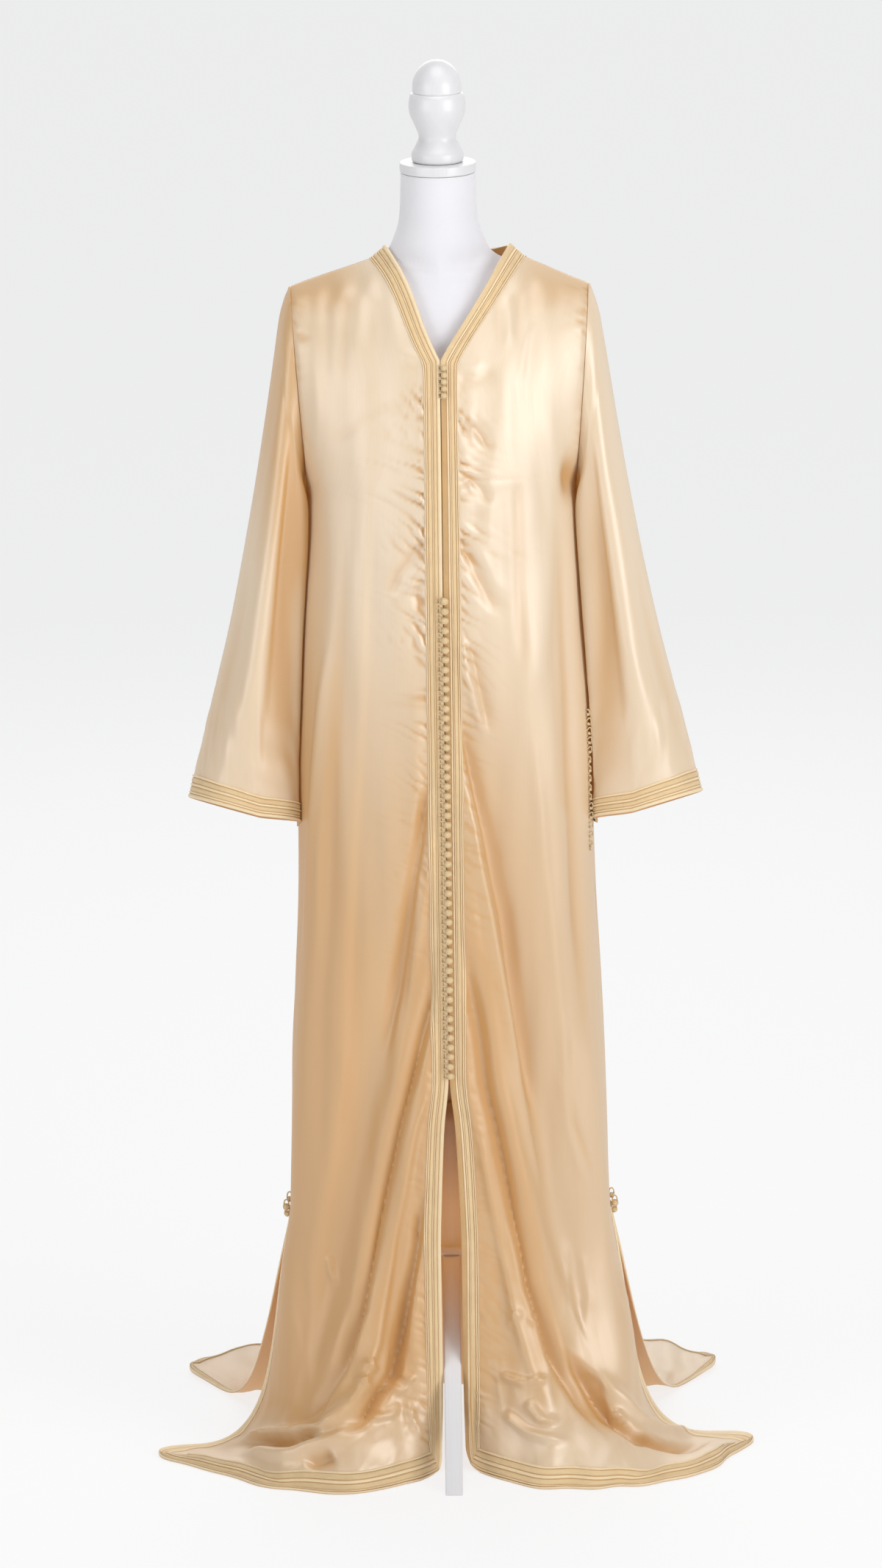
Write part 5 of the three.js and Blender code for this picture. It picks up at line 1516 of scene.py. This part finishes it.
slit_row = {"front": sum(FRONT_FINE["rows"][:2]), "back": sum(BACK_FINE["rows"][:2])}
behind = PANELS["back"]
for side in ("left", "right"):
    grid = PANELS["front_" + side]
    left_one = side == "left"
    bumps = LEFT_OPENING_BRAID if left_one else OPENING_BRAID
    i, j = edge_plan(grid, FRONT_FINE, bumps, left_one, 0)
    braid_on("braid_opening_" + side, grid, -1, i, j, bumps, ["edge_braid_" + side])
    i, j = edge_plan(grid, FRONT_FINE, SLIT_BRAID, not left_one, slit_row["front"])
    braid_on("braid_slit_front_" + side, grid, -1, i, j, SLIT_BRAID, ["slit_braid_front_" + side])
    cols = [FRONT_FINE["cols"][0], FRONT_FINE["cols"][3]]
    i, j = hem_plan(grid, FRONT_FINE, *(cols if left_one else cols[::-1]))
    braid_on("braid_hem_" + side, grid, -1, i, j, PLAIN_BRAID, ["hem_braid_" + side])
    i, j = edge_plan(behind, BACK_FINE, SLIT_BRAID, not left_one, slit_row["back"])
    braid_on("braid_slit_back_" + side, behind, 1, i, j, SLIT_BRAID, ["slit_braid_back_" + side])
    cuff = np.concatenate([SLEEVES[side], SLEEVES[side][:, :1]], 1)
    off = BRAID - braid_places(PLAIN_BRAID)[:, None]
    j = np.arange(AROUND + 1)[None, :] + 0 * off
    i = cuff.shape[0] - 1 - off / BRAID * CUFF_ROWS + 0 * j
    braid_on(
        "braid_cuff_" + side, cuff, 1 if left_one else -1, i, j, PLAIN_BRAID,
        ["cuff_braid_" + side], hoop=True,
    )
i, j = hem_plan(behind, BACK_FINE, BACK_FINE["cols"][3], BACK_FINE["cols"][3])
braid_on("braid_hem_back", behind, 1, i, j, PLAIN_BRAID, ["hem_braid_back"])

# %% Braid round the back of the neck
NECK_POINTS = 61  # points along the neckline, between the turns at its ends
TURN_POINTS = 14


def neck_plan(grid):
    """Rows and columns for a braid round the back neckline, turning at the neck points to meet
    the front braids at the shoulder."""
    x, down = grid[0, :, 0] - NECK["shift"], run_down(grid)
    off = np.maximum(BRAID - braid_places(OPENING_BRAID), 0)[:, None]
    turn = np.radians(np.linspace(90, 0, TURN_POINTS))[None, :]
    level = np.linspace(-1, 1, NECK_POINTS)[None, 1:-1] * SHOULDER["neck"] + 0 * off
    right = -SHOULDER["neck"] - off * np.sin(turn)
    at_x = np.concatenate([right, level, -right[:, ::-1]], 1)
    depth = np.concatenate([off * np.cos(turn), off + 0 * level, (off * np.cos(turn))[:, ::-1]], 1)
    j = np.interp(at_x, x, np.arange(len(x)))
    rows = np.arange(len(down))
    near = np.rint(j).astype(int)
    i = np.array([
        [np.interp(d, down[:, c], rows) for d, c in zip(*pair)] for pair in zip(depth, near)
    ])
    return i, j


i, j = neck_plan(behind)
made = braid_on("braid_neck_back", behind, 1, i, j, OPENING_BRAID, ["neck_braid_back"])
print(made.name, len(made.data.polygons), "faces")

# %% [markdown]
# ## Aakad
# Each button is a ball knotted from silk cord, so its face is a weave of crossing strands, and
# each is held by a loop of the same cord that is sewn to the other braid. Fifty of them fill the
# lower opening and five the point of the neckline. Bigger knots close the side slits, and a fine
# chain of knots runs down the left hip. They stay closed: the dress is shown as it is worn.

# %% Knotted buttons
BUTTON = {
    "radius": 4.8, "pitch": 12.1, "count": 50, "rows": 5, "aside": 1.8, "loop": 11.0,
    "top_radius": 4.0, "top_pitch": 8.0, "top_count": 5, "top_aside": 4.2, "top_loop": 9.0,
}
BRAID_TOP = 1.2  # how far the braid's flat bands stand off the satin
CORD = 0.95  # half the thickness of a loop's cord
BALL_RINGS, BALL_SIDES, LOOP_POINTS = 15, 26, 15


def ball(centre, radius, spin=0.0, squash=0.94):
    """A knot: a round ball whose face is a weave of crossing strands."""
    polar = np.radians(np.linspace(9, 171, BALL_RINGS))[:, None]
    turn = np.radians(np.arange(BALL_SIDES) * 360 / BALL_SIDES)[None, :]
    over = np.abs(np.sin(2 * turn + 3 * polar + spin)) ** 0.7
    under = np.abs(np.sin(2 * turn - 3 * polar + spin)) ** 0.7
    r = radius * (0.88 + 0.12 * np.maximum(over, under))
    ring = np.stack([r * np.sin(polar) * np.cos(turn), r * np.sin(polar) * np.sin(turn),
                     squash * r * np.cos(polar) + 0 * turn], -1)
    return loft(ring + np.asarray(centre))


def on_front(side, column, z, out):
    """A point before one column of a front, at a height, moved out of the dress."""
    grid = PANELS["front_" + side]
    n = normals_of(grid, -1)
    line = grid[:, column]
    at = np.interp(-z, -line[:, 2], np.arange(len(line)))
    i, j = np.array([at]), np.array([float(column)])
    return sampled(grid, i, j)[0] + sampled(n, i, j)[0] * out


def button_row(heights, radius, aside, loop):
    """Balls down the opening, each with its loop from the braid on the other side. aside is how
    far they sit from the middle line, and loop how far the cord reaches."""
    shapes = []
    for k, z in enumerate(heights):
        face = on_front("left", 0, z, BRAID_TOP)[1]
        shake = np.random.default_rng(int(z * 10)).uniform(-1, 1, 3)
        middle = [aside + 0.35 * shake[0], face - radius, z + 0.3 * shake[1]]
        shapes.append(ball(middle, radius, spin=0.7 * k + shake[2]))
        t = np.linspace(-1, 1, LOOP_POINTS)
        x = middle[0] + 0.4 * radius - loop * np.abs(t) ** 1.3
        bow = radius * 0.95 * np.sign(t) * np.abs(t) ** 0.35 * (1 - 0.25 * np.abs(t) ** 3)
        y = face - 1.6 - 1.2 * (1 - t * t)
        shapes.append(tube(np.stack([x, y, middle[2] + bow], -1), CORD))
    return together(shapes)


each = BUTTON["count"] // BUTTON["rows"]
for r in range(BUTTON["rows"]):
    first = BUTTON["count"] - r * each
    heights = [SLIT_TOP + 5 + (first - 1 - k) * BUTTON["pitch"] for k in range(each)]
    points, faces, uv = button_row(heights, BUTTON["radius"], BUTTON["aside"], BUTTON["loop"])
    piece_of(f"aakad_{r + 1}", points, faces, uv, cord, [f"buttons_{r + 1}"], crisp=80)
heights = [NECK["v_point"] - 8 - k * BUTTON["top_pitch"] for k in range(BUTTON["top_count"])]
points, faces, uv = button_row(
    heights, BUTTON["top_radius"], BUTTON["top_aside"], BUTTON["top_loop"]
)
piece_of("aakad_top", points, faces, uv, cord, ["buttons_top"], crisp=80)
print("buttons:", BUTTON["count"], "down the opening and", BUTTON["top_count"], "at the neckline")

# %% Knots at the slits and the hip
# Each knot at a slit: how far out of the side seam, its depth, its height and its radius.
SLIT_KNOTS = [(3.0, -3, 313, 3.8), (7.0, -6, 304, 4.7), (6.0, -3, 294.5, 4.3)]
SLIT_KNOT_Z = FLARE["top"] + 12
for name, side in (("left", 1), ("right", -1)):
    shapes = []
    for k, (out, y, z, radius) in enumerate(SLIT_KNOTS):
        middle = np.array([side * (float(side_seam(SLIT_KNOT_Z)) + out), y, z])
        shapes.append(ball(middle, radius, spin=1.3 * k))
        t = np.linspace(0, 2 * math.pi, 22, endpoint=False)
        lobe = np.stack([side * 3.0 * np.cos(t), -2.4 * np.sin(t) - 2, 6.5 * np.sin(t) + 4], -1)
        shapes.append(tube(middle + lobe, 0.9, hoop=True))
    points, faces, uv = together(shapes)
    node = "slit_knots_" + name
    piece_of("aakad_slit_" + name, points, faces, uv, cord, [node], crisp=80)
print("knots at the slits:", len(SLIT_KNOTS), "on each side")

# %% The chain down the left hip
HIP_COLUMN = sum(FRONT_FINE["cols"][:3]) - 8
HIP = {"top": 938.0, "low": 762.0, "loops": 15, "off": 1.7, "knots_off": 2.2, "knot": 2.0}
# How far the loops of the chain swing, from its start down to its end.
swing = curve([0, 0.06, 0.26, 0.36, 0.6, 0.68, 0.86, 1], [2.0, 4.0, 3.4, 1.5, 1.5, 3.2, 2.6, 0.7])
t = np.linspace(0, 1, HIP["loops"] * 16)
phase = 2 * math.pi * HIP["loops"] * t
levels = mix(HIP["top"], HIP["low"], t)
path = np.array([on_front("left", HIP_COLUMN, z, HIP["off"]) for z in levels])
path[:, 0] += swing(t) * np.sin(phase)
path[:, 2] += 0.8 * swing(t) * np.sin(2 * phase)
path[:, 1] -= 0.9 * np.cos(phase)
shapes = [tube(path, 0.85)]
for k in range(HIP["loops"]):
    z = HIP["top"] - (HIP["top"] - HIP["low"]) * (k + 0.5) / HIP["loops"]
    shapes.append(ball(on_front("left", HIP_COLUMN, z, HIP["knots_off"]), HIP["knot"], spin=k))
points, faces, uv = together(shapes)
piece_of("aakad_hip", points, faces, uv, cord, ["hip_knots_left"], crisp=80)
print("a chain of", HIP["loops"], "loops and knots down the left hip")

# %% [markdown]
# ## Dress form and stand
# The form's trunk is a moulded shell under jersey. Its neck is closed by a flat painted disc with
# a turned finial on it, and it stands on a post, a turned hub and three square legs. Turned parts
# are one profile spun round the axis, and every worked edge is a little rounded, as paint is.

# %% The form's trunk
FORM = [
    (700, 120, 82, 74, 2.2), (716, 136, 96, 82, 2.2), (800, 145, 103, 86, 2.2),
    (900, 142, 100, 83, 2.2), (1050, 118, 93, 70, 2.1), (1150, 130, 110, 78, 2.1),
    (1240, 146, 122, 86, 2.1), (1300, 154, 115, 88, 2.1), (1360, 162, 102, 82, 2.05),
    (1410, 168, 86, 72, 1.95), (1440, 171, 72, 62, 1.8), (1452, 169, 64, 56, 1.65),
    (1460.4, 165, 60, 52, 1.45),
    (1469.4, 142, 55, 47, 1.3), (1482.9, 99, 49, 43, 1.22), (1494.8, 65, 47, 42, 1.35),
    (1509, 58, 47, 42, 1.85), (1544, 47, 46, 42, 2), (1597.5, 45, 45, 42, 2),
]
FORM_NAMES = ["z", "wide", "front", "back", "round"]
soft_form = columns(FORM, "z", FORM_NAMES)
table = np.array(FORM, float)
TRUNK_SIDES = 100
z = np.concatenate([
    np.linspace(700, 716, 6)[:-1], np.linspace(716, 1460, 125)[:-1], np.linspace(1460, 1597.5, 90),
])
neck_part = smooth((z - 1494) / 10)
read = {
    n: mix(np.interp(z, table[:, 0], table[:, k + 1]), soft_form[n](z), neck_part)[:, None]
    for k, n in enumerate(FORM_NAMES[1:])
}
# The shoulders run into the neck in one soft line, so the sizes are averaged there, twice.
REACH = 9
bell = np.hanning(2 * REACH + 1) / np.hanning(2 * REACH + 1).sum()
at_neck = fade(z, 1474, 1488)[:, None] * fade(z, 1594, 1574)[:, None]
for n, size in read.items():
    soft = size[:, 0]
    for _ in range(2):
        soft = np.convolve(np.pad(soft, REACH, "edge"), bell, "valid")
    read[n] = mix(size, soft[:, None], at_neck)
turn = np.arange(TRUNK_SIDES)[None, :] * 2 * math.pi / TRUNK_SIDES
cos, sin = np.cos(turn), np.sin(turn)
reach = np.where(sin < 0, read["front"], read["back"])
rings = np.stack([
    read["wide"] * np.sign(cos) * np.abs(cos) ** (2 / read["round"]),
    reach * np.sign(sin) * np.abs(sin) ** (2 / read["round"]),
    z[:, None] + 0 * turn,
], -1)
points, faces, uv = loft(rings)
piece_of("form_trunk", points, faces, uv, jersey, ["form_torso"], crisp=40)
print("trunk:", len(faces), "faces")

# %% Turned parts
DISC = [(44, 1597.8), (45.4, 1598.4), (46, 1600), (46, 1608), (45.4, 1609.5), (44, 1610)]
FINIAL = [
    (29, 1610.3), (30.6, 1611.6), (31.5, 1614), (31.6, 1618), (31, 1622), (26, 1631), (22.5, 1641),
    (27.5, 1655), (33, 1668), (34.5, 1678), (33, 1690), (30.6, 1694.2), (29.2, 1695),
    (29.9, 1696.2), (29.4, 1706), (25.5, 1718), (17, 1728.5), (7, 1733.5), (0.5, 1734.5),
]
HUB = [
    (45, 250), (46.2, 250.4), (48.6, 252.4), (49, 253.6), (49, 259.2), (48, 261.2), (44.6, 262.4),
    (43, 264), (43, 420), (30, 440),
]
POST = [(20, 440.3), (20, 699.7)]
# Each turned part: its profile and the node it stands for.
TURNED = {
    "neck_cap": (DISC, "neck_disc"), "finial_turned": (FINIAL, "finial"),
    "hub_turned": (HUB, "hub"), "post_turned": (POST, "post"),
}


def spun(name, profile, stands_for, steps=4, sides=96):
    """A turned part: the profile's points, eased between, spun round the axis."""
    r, z = np.array(profile, float).T
    keys = np.arange(len(r))
    t = np.linspace(0, keys[-1], steps * keys[-1] + 1)
    r, z = curve(keys, r)(t)[:, None], curve(keys, z)(t)[:, None]
    turn = np.arange(sides)[None, :] * 2 * math.pi / sides
    points, faces, uv = loft(np.stack([r * np.cos(turn), r * np.sin(turn), z + 0 * turn], -1))
    return piece_of(name, points, faces, uv, paint, [stands_for], crisp=38)


for name, (profile, node) in TURNED.items():
    print(name, len(spun(name, profile, node).data.polygons), "faces")

# %% Legs
LEG = {"half": 10.6, "reach": 44.0, "foot": 238.0, "deep": 32.0, "top": 249.7, "edge": 1.8}
share = np.concatenate([[0, 0.004], np.linspace(0.02, 0.98, 13), [0.996, 1]])[:, None]
pinch = np.where((share == 0) | (share == 1), 0.94, 1.0)
angle = np.radians(np.concatenate([np.linspace(90 * q, 90 * q + 90, 5) for q in range(4)]))
quarter = np.repeat(np.arange(4), 5)
flat_x, flat_y = LEG["half"] - LEG["edge"], LEG["deep"] / 2 - LEG["edge"]
corner_x = np.array([1, -1, -1, 1])[quarter] * flat_x + LEG["edge"] * np.cos(angle)
corner_y = np.array([1, 1, -1, -1])[quarter] * flat_y + LEG["edge"] * np.sin(angle)
for k, name in enumerate(("front", "left", "right")):
    x = corner_x * pinch
    y = corner_y * pinch + LEG["deep"] / 2 - mix(LEG["reach"], LEG["foot"], share)
    a = 2 * math.pi * k / 3
    rings = np.stack([
        x * math.cos(a) - y * math.sin(a),
        x * math.sin(a) + y * math.cos(a),
        LEG["top"] * (1 - share) + 0 * x,
    ], -1)
    points, faces, uv = loft(rings)
    piece_of("leg_bar_" + name, points, faces, uv, paint, ["leg_" + name], crisp=38)
    print("leg", name, "reaches", rings[..., 1].min().round(1), "mm forward")

# %% [markdown]
# ## Floor and light
# Pale satin looks its best in a bright, even room: a white floor, a white wall behind, a large
# soft light from the right in front, a weaker one from the left, one from above and one from the
# back. Light also comes through the satin and turns the inside of the dress gold, and three small
# lamps under the skirt stand for it.

# %% The room
HALF = 60.0
corners = [(-HALF, -HALF, 0), (HALF, -HALF, 0), (HALF, HALF, 0), (-HALF, HALF, 0)]
floor_mesh = bpy.data.meshes.new("floor")
floor_mesh.from_pydata(corners, [], [(0, 1, 2, 3)])
floor = bpy.data.objects.new("floor", floor_mesh)
bpy.context.scene.collection.objects.link(floor)
white, _, bsdf, *_ = material("white floor", Roughness=0.9, Specular_IOR_Level=0.1)
bsdf.inputs["Base Color"].default_value = (0.2, 0.2, 0.2, 1.0)
bsdf.inputs["Emission Color"].default_value = (0.99, 0.995, 1.0, 1.0)
bsdf.inputs["Emission Strength"].default_value = 0.765
floor_mesh.materials.append(white)

world = bpy.data.worlds.new("studio")
world.use_nodes = True
sky = world.node_tree
towards = put(sky, "ShaderNodeSeparateXYZ", n0=put(sky, "ShaderNodeTexCoord").outputs["Generated"])
# The wall behind the dress is bright, and the room behind the camera is dim.
wall_behind = put(
    sky, "ShaderNodeMapRange", {"interpolation_type": "SMOOTHSTEP"},
    n0=towards.outputs[1], n1=0.1, n2=0.7, n3=0.12, n4=0.87,
)
sky.links.new(wall_behind.outputs[0], sky.nodes["Background"].inputs["Strength"])
sky.nodes["Background"].inputs["Color"].default_value = (1.0, 1.0, 1.0, 1.0)
bpy.context.scene.world = world
print("a floor of", 2 * HALF, "m and a bright wall behind it")

# %% Light
# Each light: where it stands from the dress, its size, its power and its warmth.
LIGHTS = {
    "key": ((3.2, -3.4, 1.9), 3.0, 115.0, (1.0, 0.99, 0.98)),
    "fill": ((-3.6, -3.4, 1.9), 3.0, 66.0, (1.0, 0.99, 0.98)),
    "top": ((0.1, -1.2, 4.4), 3.0, 66.0, (1.0, 1.0, 1.0)),
    "back": ((0.0, 3.2, 2.6), 3.0, 34.0, (1.0, 0.97, 0.92)),
}
# The small lamps inside the dress: where they stand from the form's axis.
GLOWS = [(-0.075, -0.085, 0.3), (0.075, -0.085, 0.3), (0.0, 0.105, 0.3)]
for place in GLOWS:
    data = bpy.data.lights.new("glow", "POINT")
    data.energy, data.color, data.shadow_soft_size = 0.09, (1.0, 0.52, 0.13), 0.03
    lamp = bpy.data.objects.new("glow", data)
    lamp.location = Vector(AXIS) + Vector(place)
    lamp.visible_camera = lamp.visible_glossy = False
    bpy.context.scene.collection.objects.link(lamp)
for name, (place, size, power, colour) in LIGHTS.items():
    data = bpy.data.lights.new(name, "AREA")
    data.shape, data.size, data.energy, data.color = "DISK", size, power, colour
    lamp = bpy.data.objects.new(name, data)
    lamp.location = Vector(place)
    lamp.rotation_euler = (Vector((0, 0, 0.9)) - lamp.location).to_track_quat("-Z", "Y").to_euler()
    bpy.context.scene.collection.objects.link(lamp)
bpy.context.scene.view_settings.view_transform = "Standard"
print("lights:", list(LIGHTS))
